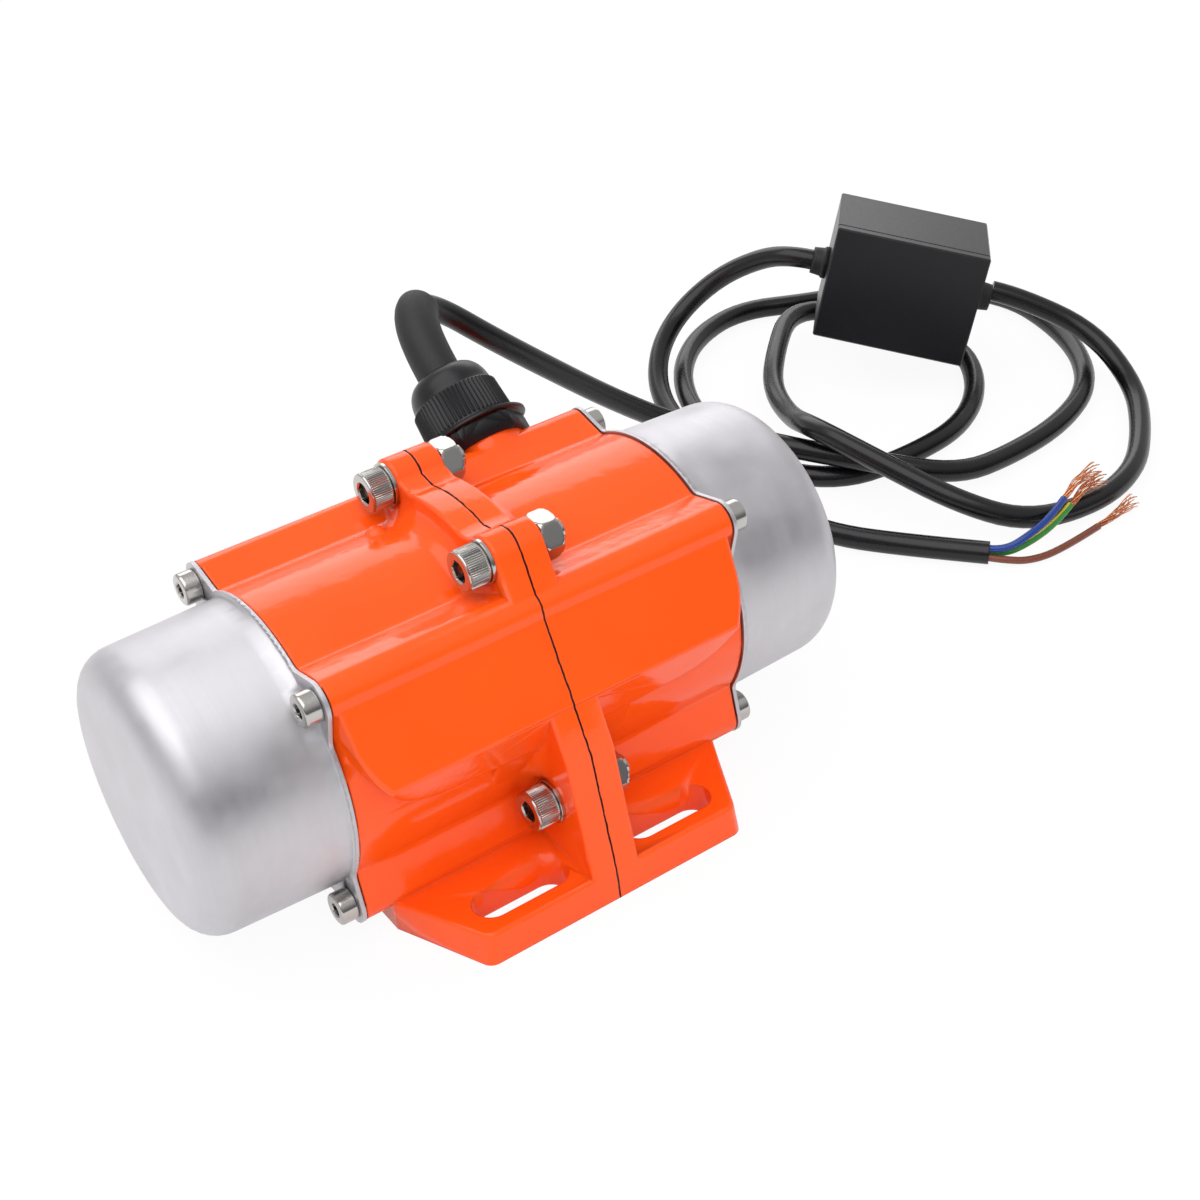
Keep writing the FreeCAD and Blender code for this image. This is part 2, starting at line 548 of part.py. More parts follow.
def sweep(name, points, outer, inner=0.0, pieces=None):
    """A round tube along a route, with its section compared against its volume."""
    path, radii = rounded_path(points, pieces)
    heading = Vec(*points[1]) - Vec(*points[0])
    ring = Part.Wire(Part.makeCircle(outer / 2, Vec(*points[0]), heading))
    solid = path.makePipeShell([ring], True, False)
    area = math.pi * outer * outer / 4
    if inner:
        bore = Part.Wire(Part.makeCircle(inner / 2, Vec(*points[0]), heading))
        solid = solid.cut(path.makePipeShell([bore], True, False))
        area -= math.pi * inner * inner / 4
    print(f"{name}: length {path.Length:.1f}, volume ratio {solid.Volume / (area * path.Length):.4f}, "
          f"smallest radius {min(radii):.1f}, radii {[round(r) for r in radii]}")
    return solid


def on_box(along, deep, high):
    """A place given in the capacitor box's own directions."""
    return BOX_AT + BOX_TURN.multVec(Vec(along, deep, high))


def build_leads():
    middle = (BOX_SIZE.y / 2, BOX_SIZE.z / 2)
    arrive = [tuple(on_box(BOX_SIZE.x + out, *middle)) for out in (15.0, 5.5)]
    place("motor_lead", sweep("motor_lead", LEAD_ROUTE + arrive, CORD_D))
    leave = [tuple(on_box(-out, *middle)) for out in (5.5, 12.5)]
    place("supply_lead", sweep("supply_lead", leave + SUPPLY_ROUTE, CORD_D))
    place("lead_sleeve", sweep("lead_sleeve", LEAD_ROUTE, SLEEVE_D, CORD_D + 2 * FIT, SLEEVE_PIECES))
    for colour, route in (("blue", BLUE_ROUTE), ("green_yellow", GREEN_ROUTE), ("brown", BROWN_ROUTE)):
        place("core_" + colour, sweep("core_" + colour, route, CORE_D))
    place("copper_ends", *[sweep("copper", run, 1.7) for run in COPPER_RUNS])


def build_box():
    """A two-part plastic box with the run capacitor inside, a grommet at each end."""
    size = BOX_SIZE

    def settle(shape):
        shape.Placement = FreeCAD.Placement(BOX_AT, BOX_TURN)
        return shape

    def bevelled(block, amount):
        return block.makeChamfer(amount, block.Edges)

    base = bevelled(Part.makeBox(size.x, size.y - LID_T, size.z, Vec(0, LID_T, 0)), 0.5)
    room = Part.makeBox(size.x - 2 * BOX_WALL, size.y - LID_T - BOX_WALL, size.z - 2 * BOX_WALL,
                        Vec(BOX_WALL, LID_T - 1, BOX_WALL))
    hole_r = 5.0
    hole = Part.makeCylinder(hole_r, size.x + 2, Vec(-1, size.y / 2, size.z / 2), X_DIR)
    place("capacitor_box", settle(base.cut(room).cut(hole)))
    lid = bevelled(Part.makeBox(size.x, LID_T, size.z), 0.5)
    lip = Part.makeBox(size.x - 2 * BOX_WALL - 0.4, 3.0, size.z - 2 * BOX_WALL - 0.4,
                       Vec(BOX_WALL + 0.2, LID_T - 0.1, BOX_WALL + 0.2))
    lip = lip.cut(Part.makeBox(size.x - 4 * BOX_WALL, 5.0, size.z - 4 * BOX_WALL, Vec(2 * BOX_WALL, LID_T, 2 * BOX_WALL)))
    place("capacitor_box_lid", settle(fuse([lid, lip])))
    can = Part.makeBox(36.0, 22.0, 30.0, Vec(8.5, 10.5, 4.9))
    place("run_capacitor", settle(bevelled(can, 1.5)))
    for name, end, out in (("right", size.x, 1), ("left", 0, -1)):
        start = Vec(end, size.y / 2, size.z / 2)
        profile = [(-BOX_WALL - 1.2, 0), (-BOX_WALL - 1.2, 6.2), (-BOX_WALL, 6.2), (-BOX_WALL, hole_r - FIT),
                   (0, hole_r - FIT), (0, 5.6), (1.4, 5.6), (2.0, 5.0), (5.5, 4.6), (5.5, 0)]
        place("grommet_" + name, settle(turned(profile, start, Vec(out, 0, 0))))


build_housing()
build_caps()
build_stator()
build_rotor()
build_weights()
build_gland()
build_leads()
build_box()

for name, shape in nodes.items():
    if not shape.isValid():
        print("not valid:", name)
    shape.exportStep("parts/" + name + ".step")
print(len(nodes), "nodes")
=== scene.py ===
import json
import math

import bmesh
import bpy
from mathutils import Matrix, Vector


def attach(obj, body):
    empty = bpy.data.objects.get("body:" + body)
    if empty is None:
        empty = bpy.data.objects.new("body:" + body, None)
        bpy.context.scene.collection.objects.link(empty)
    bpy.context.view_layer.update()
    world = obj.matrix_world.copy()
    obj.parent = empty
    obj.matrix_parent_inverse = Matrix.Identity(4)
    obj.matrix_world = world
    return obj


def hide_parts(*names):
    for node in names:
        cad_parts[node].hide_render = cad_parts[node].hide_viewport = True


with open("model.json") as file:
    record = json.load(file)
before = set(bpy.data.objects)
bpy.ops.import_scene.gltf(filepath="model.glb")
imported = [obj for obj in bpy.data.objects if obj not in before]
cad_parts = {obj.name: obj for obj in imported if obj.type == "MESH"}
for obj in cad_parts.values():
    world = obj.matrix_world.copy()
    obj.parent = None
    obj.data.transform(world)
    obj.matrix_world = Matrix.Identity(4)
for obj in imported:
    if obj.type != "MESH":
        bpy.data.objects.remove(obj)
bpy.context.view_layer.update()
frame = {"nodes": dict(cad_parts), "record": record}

mm = 0.001
nodes = frame["nodes"]
scene = bpy.context.scene
scene.view_settings.view_transform = "Standard"
print("frame loaded:", len(nodes), "nodes")


# camera

cameraPlace = {"location": (-0.19085, -0.35385, 0.33952), "turn": (54.607, 3.235, -35.415), "lens": 57.35}
cameraData = bpy.data.cameras.new("camera")
cameraData.lens = cameraPlace["lens"]
cameraData.sensor_width = 36
cameraData.clip_start = 0.02
camera = bpy.data.objects.new("camera", cameraData)
camera.location = cameraPlace["location"]
camera.rotation_euler = [math.radians(angle) for angle in cameraPlace["turn"]]
scene.collection.objects.link(camera)
scene.camera = camera
print("camera set")


# colours and material nodes

def toLinear(hexText):
    parts = [int(hexText[i:i + 2], 16) / 255 for i in (1, 3, 5)]
    return [p / 12.92 if p <= 0.04045 else ((p + 0.055) / 1.055) ** 2.4 for p in parts] + [1.0]


def addNode(tree, kind, settings=None, links=None):
    # settings whose names are inputs go on the sockets, the others on the node itself
    node = tree.nodes.new(kind)
    for name, value in (settings or {}).items():
        if isinstance(value, str) and value.startswith("#"):
            value = toLinear(value)
        if isinstance(name, int) or name in node.inputs:
            node.inputs[name].default_value = value
        else:
            setattr(node, name, value)
    for name, source in (links or {}).items():
        tree.links.new(source, node.inputs[name])
    return node


def newMaterial(name, shader, colour=None):
    # a Principled shader with its fixed values, and its tree for the pattern nodes
    material = bpy.data.materials.new(name)
    material.use_nodes = True
    tree = material.node_tree
    tree.nodes.clear()
    principled = addNode(tree, "ShaderNodeBsdfPrincipled", shader)
    addNode(tree, "ShaderNodeOutputMaterial", links={"Surface": principled.outputs[0]})
    if colour:
        material.diffuse_color = toLinear(colour)
    return material, tree, principled


def objectPoint(tree):
    return addNode(tree, "ShaderNodeTexCoord").outputs["Object"]


def newTree(name, inputs):
    # a geometry node tree with named inputs, each (name, kind of socket, value or None)
    tree = bpy.data.node_groups.new(name, "GeometryNodeTree")
    tree.interface.new_socket("Geometry", in_out="INPUT", socket_type="NodeSocketGeometry")
    for label, kind, value in inputs:
        socket = tree.interface.new_socket(label, in_out="INPUT", socket_type="NodeSocket" + kind)
        if value is not None:
            socket.default_value = value
    tree.interface.new_socket("Geometry", in_out="OUTPUT", socket_type="NodeSocketGeometry")
    return tree, addNode(tree, "NodeGroupInput").outputs


def grow(name, base, tree, values, slotName):
    # the plain mesh that a tree gives on an object, as a piece of its own
    modifier = base.modifiers.new(name, "NODES")
    modifier.node_group = tree
    for item in tree.interface.items_tree:
        if item.in_out == "INPUT" and item.name in values:
            modifier[item.identifier] = values[item.name]
    bpy.context.view_layer.update()
    mesh = bpy.data.meshes.new_from_object(base.evaluated_get(bpy.context.evaluated_depsgraph_get()))
    bpy.data.objects.remove(base)
    mesh.name = name
    mesh.materials.clear()
    mesh.materials.append(materials[slotName])
    mesh.polygons.foreach_set("use_smooth", [True] * len(mesh.polygons))
    mesh.polygons.foreach_set("material_index", [0] * len(mesh.polygons))
    mesh.set_sharp_from_angle(angle=math.radians(35))
    piece = bpy.data.objects.new(name, mesh)
    scene.collection.objects.link(piece)
    return piece


def pointsObject(name, places):
    mesh = bpy.data.meshes.new(name)
    mesh.from_pydata([tuple(place) for place in places], [], [])
    holder = bpy.data.objects.new(name, mesh)
    scene.collection.objects.link(holder)
    return holder


# sprayed and baked enamel on cast aluminium: a glossy film that rounds every edge, with a slight
# orange peel, pinholes, a few pale chips, and a dark ragged line where the halves meet at x = 0
enamel = {"colour": "#FA5815", "deep": "#F24E0E", "roughness": 0.13, "specular": 0.36, "peel": 0.15, "peelSize": 2.6,
          "lumpSize": 9.0, "edge": 0.9, "pinholeSize": 5.0, "pinholeShare": 0.012, "chipSize": 5.0, "chipShare": 0.007,
          "seamHalfWidth": 0.22, "seamWander": 0.3}


def makeEnamel():
    material, tree, principled = newMaterial("bakedEnamel", {"Roughness": enamel["roughness"], "IOR": 1.5,
                                                             "Specular IOR Level": enamel["specular"]},
                                                             enamel["colour"])
    point = objectPoint(tree)
    patches = addNode(tree, "ShaderNodeTexNoise", {"Scale": 28.0, "Detail": 2.0}, {"Vector": point})
    tone = addNode(tree, "ShaderNodeMix", {"data_type": "RGBA", 6: enamel["deep"], 7: enamel["colour"]},
                   {0: patches.outputs["Fac"]})
    marks = tone.outputs[2]
    for size, share, reach, colour in ((enamel["pinholeSize"], enamel["pinholeShare"], 0.06, "#5A1E0A"),
                                       (enamel["chipSize"], enamel["chipShare"], 0.055, "#E4C4B6")):
        spots = addNode(tree, "ShaderNodeTexVoronoi", {"Scale": 1000 / size, "Randomness": 1.0}, {"Vector": point})
        near = addNode(tree, "ShaderNodeMath", {"operation": "LESS_THAN", 1: reach}, {0: spots.outputs["Distance"]})
        rare = addNode(tree, "ShaderNodeSeparateColor", links={0: spots.outputs["Color"]})
        few = addNode(tree, "ShaderNodeMath", {"operation": "LESS_THAN", 1: share}, {0: rare.outputs[0]})
        spot = addNode(tree, "ShaderNodeMath", {"operation": "MULTIPLY"}, {0: near.outputs[0], 1: few.outputs[0]})
        mixed = addNode(tree, "ShaderNodeMix", {"data_type": "RGBA", 7: colour}, {0: spot.outputs[0], 6: marks})
        marks = mixed.outputs[2]
    # the joint: a line of shadow and old sealant whose edges wander
    across = addNode(tree, "ShaderNodeSeparateXYZ", links={0: point})
    wander = addNode(tree, "ShaderNodeTexNoise", {"Scale": 340.0, "Detail": 3.0}, {"Vector": point})
    shift = addNode(tree, "ShaderNodeMapRange",
                    {"To Min": -enamel["seamWander"] * mm, "To Max": enamel["seamWander"] * mm},
                    {"Value": wander.outputs["Fac"]})
    offset = addNode(tree, "ShaderNodeMath", {"operation": "ADD"}, {0: across.outputs[0], 1: shift.outputs[0]})
    distance = addNode(tree, "ShaderNodeMath", {"operation": "ABSOLUTE"}, {0: offset.outputs[0]})
    joint = addNode(tree, "ShaderNodeMapRange", {"From Min": enamel["seamHalfWidth"] * mm, "To Min": 1.0,
                                                 "To Max": 0.0,
                                                 "From Max": (enamel["seamHalfWidth"] + 0.08) * mm},
                    {"Value": distance.outputs[0]})
    marks = addNode(tree, "ShaderNodeMix", {"data_type": "RGBA", 7: "#1A0A06"},
                    {0: joint.outputs[0], 6: marks}).outputs[2]
    tree.links.new(marks, principled.inputs["Base Color"])
    dull = addNode(tree, "ShaderNodeMapRange", {"To Min": enamel["roughness"], "To Max": 0.7},
                   {"Value": joint.outputs[0]})
    tree.links.new(dull.outputs[0], principled.inputs["Roughness"])
    peel = addNode(tree, "ShaderNodeTexNoise", {"Scale": 1000 / enamel["peelSize"], "Detail": 1.0}, {"Vector": point})
    lumps = addNode(tree, "ShaderNodeTexNoise", {"Scale": 1000 / enamel["lumpSize"], "Detail": 1.0}, {"Vector": point})
    rounding = addNode(tree, "ShaderNodeBevel", {"Radius": enamel["edge"] * mm, "samples": 6})
    wavy = addNode(tree, "ShaderNodeBump", {"Strength": 0.17, "Distance": 0.8 * mm},
                   {"Height": lumps.outputs["Fac"], "Normal": rounding.outputs[0]})
    bump = addNode(tree, "ShaderNodeBump", {"Strength": enamel["peel"], "Distance": 0.4 * mm},
                   {"Height": peel.outputs["Fac"], "Normal": wavy.outputs[0]})
    tree.links.new(bump.outputs[0], principled.inputs["Normal"])
    return material


# deep drawn stainless steel with a satin finish: soft wide highlights, cloudy patches, brushing
# round the cup and short handling scratches
stainless = {"colour": "#B4B2B6", "light": "#DEDCE0", "roughLow": 0.34, "roughHigh": 0.52, "brushSize": 0.9,
             "cloudSize": 16.0, "scratchSize": 7.0}


def makeStainless():
    material, tree, principled = newMaterial("satinStainless", {"Metallic": 1.0}, stainless["colour"])
    point = objectPoint(tree)
    clouds = addNode(tree, "ShaderNodeTexNoise", {"Scale": 1000 / stainless["cloudSize"], "Detail": 4.0},
                     {"Vector": point})
    tone = addNode(tree, "ShaderNodeMix", {"data_type": "RGBA", 6: stainless["colour"], 7: stainless["light"]},
                   {0: clouds.outputs["Fac"]})
    # brushing runs round the axis, so the grain is fine along x and long across it
    drawn = addNode(tree, "ShaderNodeMapping", {"Scale": (1.0, 0.06, 0.06)}, {"Vector": point})
    grain = addNode(tree, "ShaderNodeTexNoise", {"Scale": 1000 / stainless["brushSize"], "Detail": 2.0},
                    {"Vector": drawn.outputs[0]})
    tilted = addNode(tree, "ShaderNodeMapping", {"Scale": (0.12, 1.0, 1.0), "Rotation": (0.2, 0.3, 0.9)},
                     {"Vector": point})
    cells = addNode(tree, "ShaderNodeTexVoronoi", {"Scale": 1000 / stainless["scratchSize"], "feature": "F1"},
                    {"Vector": tilted.outputs[0]})
    scratch = addNode(tree, "ShaderNodeMapRange", {"From Min": 0.0, "From Max": 0.05, "To Min": 1.0, "To Max": 0.0},
                      {"Value": cells.outputs["Distance"]})
    rough = addNode(tree, "ShaderNodeMapRange", {"From Min": 0.3, "From Max": 0.7, "To Min": stainless["roughLow"],
                                                 "To Max": stainless["roughHigh"]}, {"Value": clouds.outputs["Fac"]})
    uneven = addNode(tree, "ShaderNodeMath", {"operation": "MULTIPLY_ADD", 1: 0.12},
                     {0: grain.outputs["Fac"], 2: rough.outputs[0]})
    tree.links.new(tone.outputs[2], principled.inputs["Base Color"])
    tree.links.new(uneven.outputs[0], principled.inputs["Roughness"])
    height = addNode(tree, "ShaderNodeMath", {"operation": "MULTIPLY_ADD", 1: 0.5},
                     {0: scratch.outputs[0], 2: grain.outputs["Fac"]})
    rounding = addNode(tree, "ShaderNodeBevel", {"Radius": 0.3 * mm, "samples": 4})
    bump = addNode(tree, "ShaderNodeBump", {"Strength": 0.06, "Distance": 0.1 * mm},
                   {"Height": height.outputs[0], "Normal": rounding.outputs[0]})
    tree.links.new(bump.outputs[0], principled.inputs["Normal"])
    return material


def makeMetal(name, colour, roughness, grainSize, grainStrength, edge=0.15):
    # turned, plated or cast metal: fine grain in the normal, slightly uneven polish
    material, tree, principled = newMaterial(name, {"Metallic": 1.0, "Base Color": colour}, colour)
    point = objectPoint(tree)
    grain = addNode(tree, "ShaderNodeTexNoise", {"Scale": 1000 / grainSize, "Detail": 3.0}, {"Vector": point})
    rough = addNode(tree, "ShaderNodeMapRange", {"To Min": roughness * 0.75, "To Max": roughness * 1.25},
                    {"Value": grain.outputs["Fac"]})
    tree.links.new(rough.outputs[0], principled.inputs["Roughness"])
    rounding = addNode(tree, "ShaderNodeBevel", {"Radius": edge * mm, "samples": 4})
    bump = addNode(tree, "ShaderNodeBump", {"Strength": grainStrength, "Distance": 0.1 * mm},
                   {"Height": grain.outputs["Fac"], "Normal": rounding.outputs[0]})
    tree.links.new(bump.outputs[0], principled.inputs["Normal"])
    return material


def makePlastic(name, colour, second, roughness, grainSize, grainStrength, specularTint=0.5, edge=0.3):
    # moulded plastic or rubber: a fine texture, and a colour that drifts a little
    material, tree, principled = newMaterial(name, {"IOR": 1.5, "Specular IOR Level": specularTint}, colour)
    point = objectPoint(tree)
    grain = addNode(tree, "ShaderNodeTexNoise", {"Scale": 1000 / grainSize, "Detail": 2.0}, {"Vector": point})
    tone = addNode(tree, "ShaderNodeMix", {"data_type": "RGBA", 6: colour, 7: second}, {0: grain.outputs["Fac"]})
    tree.links.new(tone.outputs[2], principled.inputs["Base Color"])
    rough = addNode(tree, "ShaderNodeMapRange", {"To Min": roughness * 0.8, "To Max": roughness * 1.2},
                    {"Value": grain.outputs["Fac"]})
    tree.links.new(rough.outputs[0], principled.inputs["Roughness"])
    rounding = addNode(tree, "ShaderNodeBevel", {"Radius": edge * mm, "samples": 4})
    bump = addNode(tree, "ShaderNodeBump", {"Strength": grainStrength, "Distance": 0.15 * mm},
                   {"Height": grain.outputs["Fac"], "Normal": rounding.outputs[0]})
    tree.links.new(bump.outputs[0], principled.inputs["Normal"])
    return material


# the earth core: extruded vinyl with yellow stripes along a green ground
stripedVinyl = {"plain": "#3F9A2C", "green": "#24742B", "lightGreen": "#2E8234", "yellow": "#E0C432", "roughness": 0.3,
                "stripes": 2, "edge": 0.1}


def makeStripedVinyl():
    # the stripes follow the tube's own UV map, whose second value goes round it
    material, tree, principled = newMaterial("stripedVinyl", {"Roughness": stripedVinyl["roughness"], "IOR": 1.5},
                                             stripedVinyl["plain"])
    around = addNode(tree, "ShaderNodeSeparateXYZ", links={0: addNode(tree, "ShaderNodeTexCoord").outputs["UV"]})
    wave = addNode(tree, "ShaderNodeMath", {"operation": "MULTIPLY", 1: 2 * stripedVinyl["stripes"] * math.pi},
                   {0: around.outputs[1]})
    crest = addNode(tree, "ShaderNodeMath", {"operation": "SINE"}, {0: wave.outputs[0]})
    stripe = addNode(tree, "ShaderNodeMath", {"operation": "GREATER_THAN", 1: stripedVinyl["edge"]},
                     {0: crest.outputs[0]})
    grain = addNode(tree, "ShaderNodeTexNoise", {"Scale": 900.0}, {"Vector": objectPoint(tree)})
    tone = addNode(tree, "ShaderNodeMix", {"data_type": "RGBA", 6: stripedVinyl["green"],
                                           7: stripedVinyl["lightGreen"]}, {0: grain.outputs["Fac"]})
    mixed = addNode(tree, "ShaderNodeMix", {"data_type": "RGBA", 7: stripedVinyl["yellow"]},
                    {0: stripe.outputs[0], 6: tone.outputs[2]})
    tree.links.new(mixed.outputs[2], principled.inputs["Base Color"])
    return material


materials = {
    # glossy orange film that rounds the edges
    "orange_enamel": makeEnamel(),
    # soft, wide highlights with cloudy patches
    "stainless": makeStainless(),
    # bright plated fasteners with sharp highlights
    "zinc_steel": makeMetal("nickelPlatedSteel", "#BBB8B4", 0.15, 0.8, 0.05, edge=0.04),
    # a thin dull dark line under each cap
    "gasket_rubber": makePlastic("gasketPaper", "#1B1A19", "#262422", 0.8, 0.6, 0.2),
    # blue-grey and soft, like stacked sheets
    "silicon_steel": makeMetal("laminatedSteel", "#8C8F94", 0.42, 0.5, 0.15),
    # warm and bright, on the wires and windings
    "copper": makeMetal("strandedCopper", "#E59A6B", 0.25, 0.5, 0.05, 0.05),
    # ground and mirror bright
    "bearing_steel": makeMetal("bearingSteel", "#D5D5D8", 0.12, 0.6, 0.02),
    # plain machined grey with a faint grain
    "turned_steel": makeMetal("turnedSteel", "#A3A5A8", 0.3, 0.5, 0.04),
    # pale, coarse and dull
    "cast_aluminium": makeMetal("castAluminium", "#C4C5C9", 0.45, 1.4, 0.25),
    # dark and coarse, on the weights
    "cast_iron": makeMetal("castIron", "#6A6764", 0.5, 1.2, 0.35),
    # crisp moulded black with a satin sheen
    "black_nylon": makePlastic("mouldedNylon", "#08080B", "#0F0F14", 0.34, 0.9, 0.05, specularTint=0.4, edge=0.12),
    # matte and dusty, on the sleeve and grommets
    "black_rubber": makePlastic("sleeveRubber", "#0F0F11", "#19191C", 0.58, 0.7, 0.16),
    # smooth black jacket with one long highlight
    "black_pvc": makePlastic("jacketVinyl", "#07070A", "#0C0C10", 0.26, 1.4, 0.03, specularTint=0.42),
    # clear colours for the three cores
    "blue_pvc": makePlastic("blueVinyl", "#0E2F78", "#123888", 0.3, 1.0, 0.02),
    "green_yellow_pvc": makeStripedVinyl(),
    "brown_pvc": makePlastic("brownVinyl", "#6B3626", "#7A4230", 0.3, 1.0, 0.02),
    # off-white case inside the box
    "white_plastic": makePlastic("capacitorCase", "#D9D9D4", "#E4E4E0", 0.4, 1.0, 0.05),
}
print("materials made:", len(materials))


# cords: the same route points as the tubes in the part

leadRoute = [
    (31.4, 53.8, 83.3), (30.9, 65.7, 92.6), (36.5, 80.5, 98.5), (46.5, 86.0, 93.8), (62.0, 81.5, 79.5),
    (82.0, 81.0, 62.0), (103.0, 81.5, 44.0), (124.0, 81.0, 28.0), (146.0, 78.0, 16.5), (163.0, 60.0, 11.6),
    (176.0, 38.0, 11.8), (197.0, 22.0, 6.0), (223.0, 23.0, 3.7), (249.0, 26.5, 3.7), (273.0, 37.0, 3.7),
    (290.0, 56.0, 3.7), (300.0, 80.0, 3.7), (303.5, 106.0, 3.7), (290.0, 129.0, 3.7), (268.0, 143.5, 3.7),
    (244.0, 152.0, 3.7), (220.0, 164.5, 3.7), (195.0, 158.5, 3.7), (174.5, 142.0, 3.7), (161.0, 119.5, 3.7),
    (155.0, 94.5, 3.7), (154.0, 67.5, 3.7), (169.5, 46.5, 3.7), (196.5, 44.0, 3.7), (222.0, 47.0, 3.7),
    (244.0, 61.0, 3.7), (260.5, 83.5, 3.7), (260.0, 107.0, 3.7), (243.0, 133.0, 8.5), (223.0, 139.0, 11.5),
    (200.0, 119.0, 11.0), (183.0, 100.5, 10.5), (172.0, 77.5, 13.0), (162.5, 55.0, 23.0), (168.0, 30.0, 19.5),
    (178.0, 4.0, 12.5), (194.0, -11.0, 5.5), (220.0, -15.5, 3.7), (245.0, -10.0, 3.7), (267.0, 7.0, 3.7),
    (284.5, 26.0, 5.5), (289.0, 51.0, 15.5), (272.2, 71.8, 26.6), (265.8, 78.3, 28.6),
]
supplyRoute = [
    (217.9, 119.9, 41.3), (213.0, 124.8, 42.7), (209.0, 137.0, 39.0), (199.0, 150.0, 30.0), (184.0, 155.0, 18.5),
    (168.0, 146.5, 11.5), (156.0, 131.0, 6.0), (149.0, 109.0, 3.7), (142.0, 82.0, 3.7), (138.0, 54.0, 3.7),
    (144.0, 26.0, 3.7), (159.0, 5.0, 3.7), (175.0, -14.0, 3.7),
]
coreRoutes = {
    "blue": [(175.0, -14.0, 5.3), (178.0, -17.6, 5.3), (185.0, -20.0, 8.5), (195.0, -19.6, 11.0),
             (205.0, -15.6, 11.8)],
    "green_yellow": [(176.1, -13.1, 2.9), (179.0, -16.6, 2.9), (186.5, -19.2, 5.0), (196.5, -20.2, 8.2),
                     (206.5, -17.0, 9.4)],
    "brown": [(173.9, -14.9, 2.9), (176.6, -18.2, 2.6), (184.0, -22.8, 1.3), (196.0, -24.6, 1.3), (214.0, -22.8, 1.3)],
}
cordSizes = {"jacket": 7.2, "core": 2.3, "sleeve": 12.4, "sleeveLength": 33.0}


def makeCord(name, route, diameter, slotName, corners=6):
    curve = bpy.data.curves.new(name, "CURVE")
    curve.dimensions = "3D"
    curve.resolution_u = corners
    spline = curve.splines.new("NURBS")
    spline.points.add(len(route) - 1)
    for point, place in zip(spline.points, route):
        point.co = [value * mm for value in place] + [1.0]
    spline.order_u = 3
    spline.use_endpoint_u = True
    curve.bevel_depth = diameter / 2 * mm
    curve.bevel_resolution = 5
    curve.use_fill_caps = True
    curve.materials.append(materials[slotName])
    cord = bpy.data.objects.new(name, curve)
    scene.collection.objects.link(cord)
    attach(cord, "housing")
    return cord


def splinePoints(cord):
    # the smooth line of a cord, without its thickness
    bare = cord.copy()
    bare.data = cord.data.copy()
    bare.data.bevel_depth = 0
    bare.data.use_fill_caps = False
    bare.parent = None
    scene.collection.objects.link(bare)
    bpy.context.view_layer.update()
    mesh = bpy.data.meshes.new_from_object(bare.evaluated_get(bpy.context.evaluated_depsgraph_get()))
    points = [vertex.co.copy() for vertex in mesh.vertices]
    bpy.data.objects.remove(bare)
    bpy.data.meshes.remove(mesh)
    return points


motorLead = makeCord("motorLead", leadRoute, cordSizes["jacket"], "black_pvc")
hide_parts("motor_lead")
supplyLead = makeCord("supplyLead", supplyRoute, cordSizes["jacket"], "black_pvc")
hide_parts("supply_lead")
for colour, route in coreRoutes.items():
    core = makeCord("core_" + colour + "_wire", route, cordSizes["core"], colour + "_pvc")
    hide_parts("core_" + colour)
print("cords laid")


# pieces taken over from the part, with their doubles merged and their round faces smooth

def smoothCopy(nodeName, slotName, body, sharpAngle=28):
    source = nodes[nodeName]
    mesh = source.data.copy()
    mesh.materials.clear()
    mesh.materials.append(materials[slotName])
    work = bmesh.new()
    work.from_mesh(mesh)
    bmesh.ops.remove_doubles(work, verts=work.verts, dist=0.002 * mm)
    work.to_mesh(mesh)
    work.free()
    mesh.polygons.foreach_set("use_smooth", [True] * len(mesh.polygons))
    mesh.polygons.foreach_set("material_index", [0] * len(mesh.polygons))
    mesh.set_sharp_from_angle(angle=math.radians(sharpAngle))
    piece = bpy.data.objects.new(nodeName + "_piece", mesh)
    scene.collection.objects.link(piece)
    weighted = piece.modifiers.new("flatFacesStayFlat", "WEIGHTED_NORMAL")
    weighted.keep_sharp = True
    weighted.mode = "FACE_AREA"
    weighted.weight = 90
    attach(piece, body)
    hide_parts(nodeName)
    return piece


def islands(nodeName):
    # the lowest and highest corner of each separate solid of a node
    work = bmesh.new()
    work.from_mesh(nodes[nodeName].data)
    bmesh.ops.remove_doubles(work, verts=work.verts, dist=0.002 * mm)
    waiting, found = set(work.verts), []
    while waiting:
        stack = [waiting.pop()]
        group = list(stack)
        while stack:
            for edge in stack.pop().link_edges:
                for vertex in edge.verts:
                    if vertex in waiting:
                        waiting.remove(vertex)
                        stack.append(vertex)
                        group.append(vertex)
        found.append([Vector([pick(vertex.co[i] for vertex in group) for i in range(3)]) for pick in (min, max)])
    work.free()
    return sorted(found, key=lambda corners: tuple(round(value, 4) for value in corners[0]))


# turned parts: an outline of (radius, finish, height) points goes round an axis. The finish is
# 0 for a plain turned face, 1 for knurling, 2 for a hexagon outside and 3 for a hexagon socket

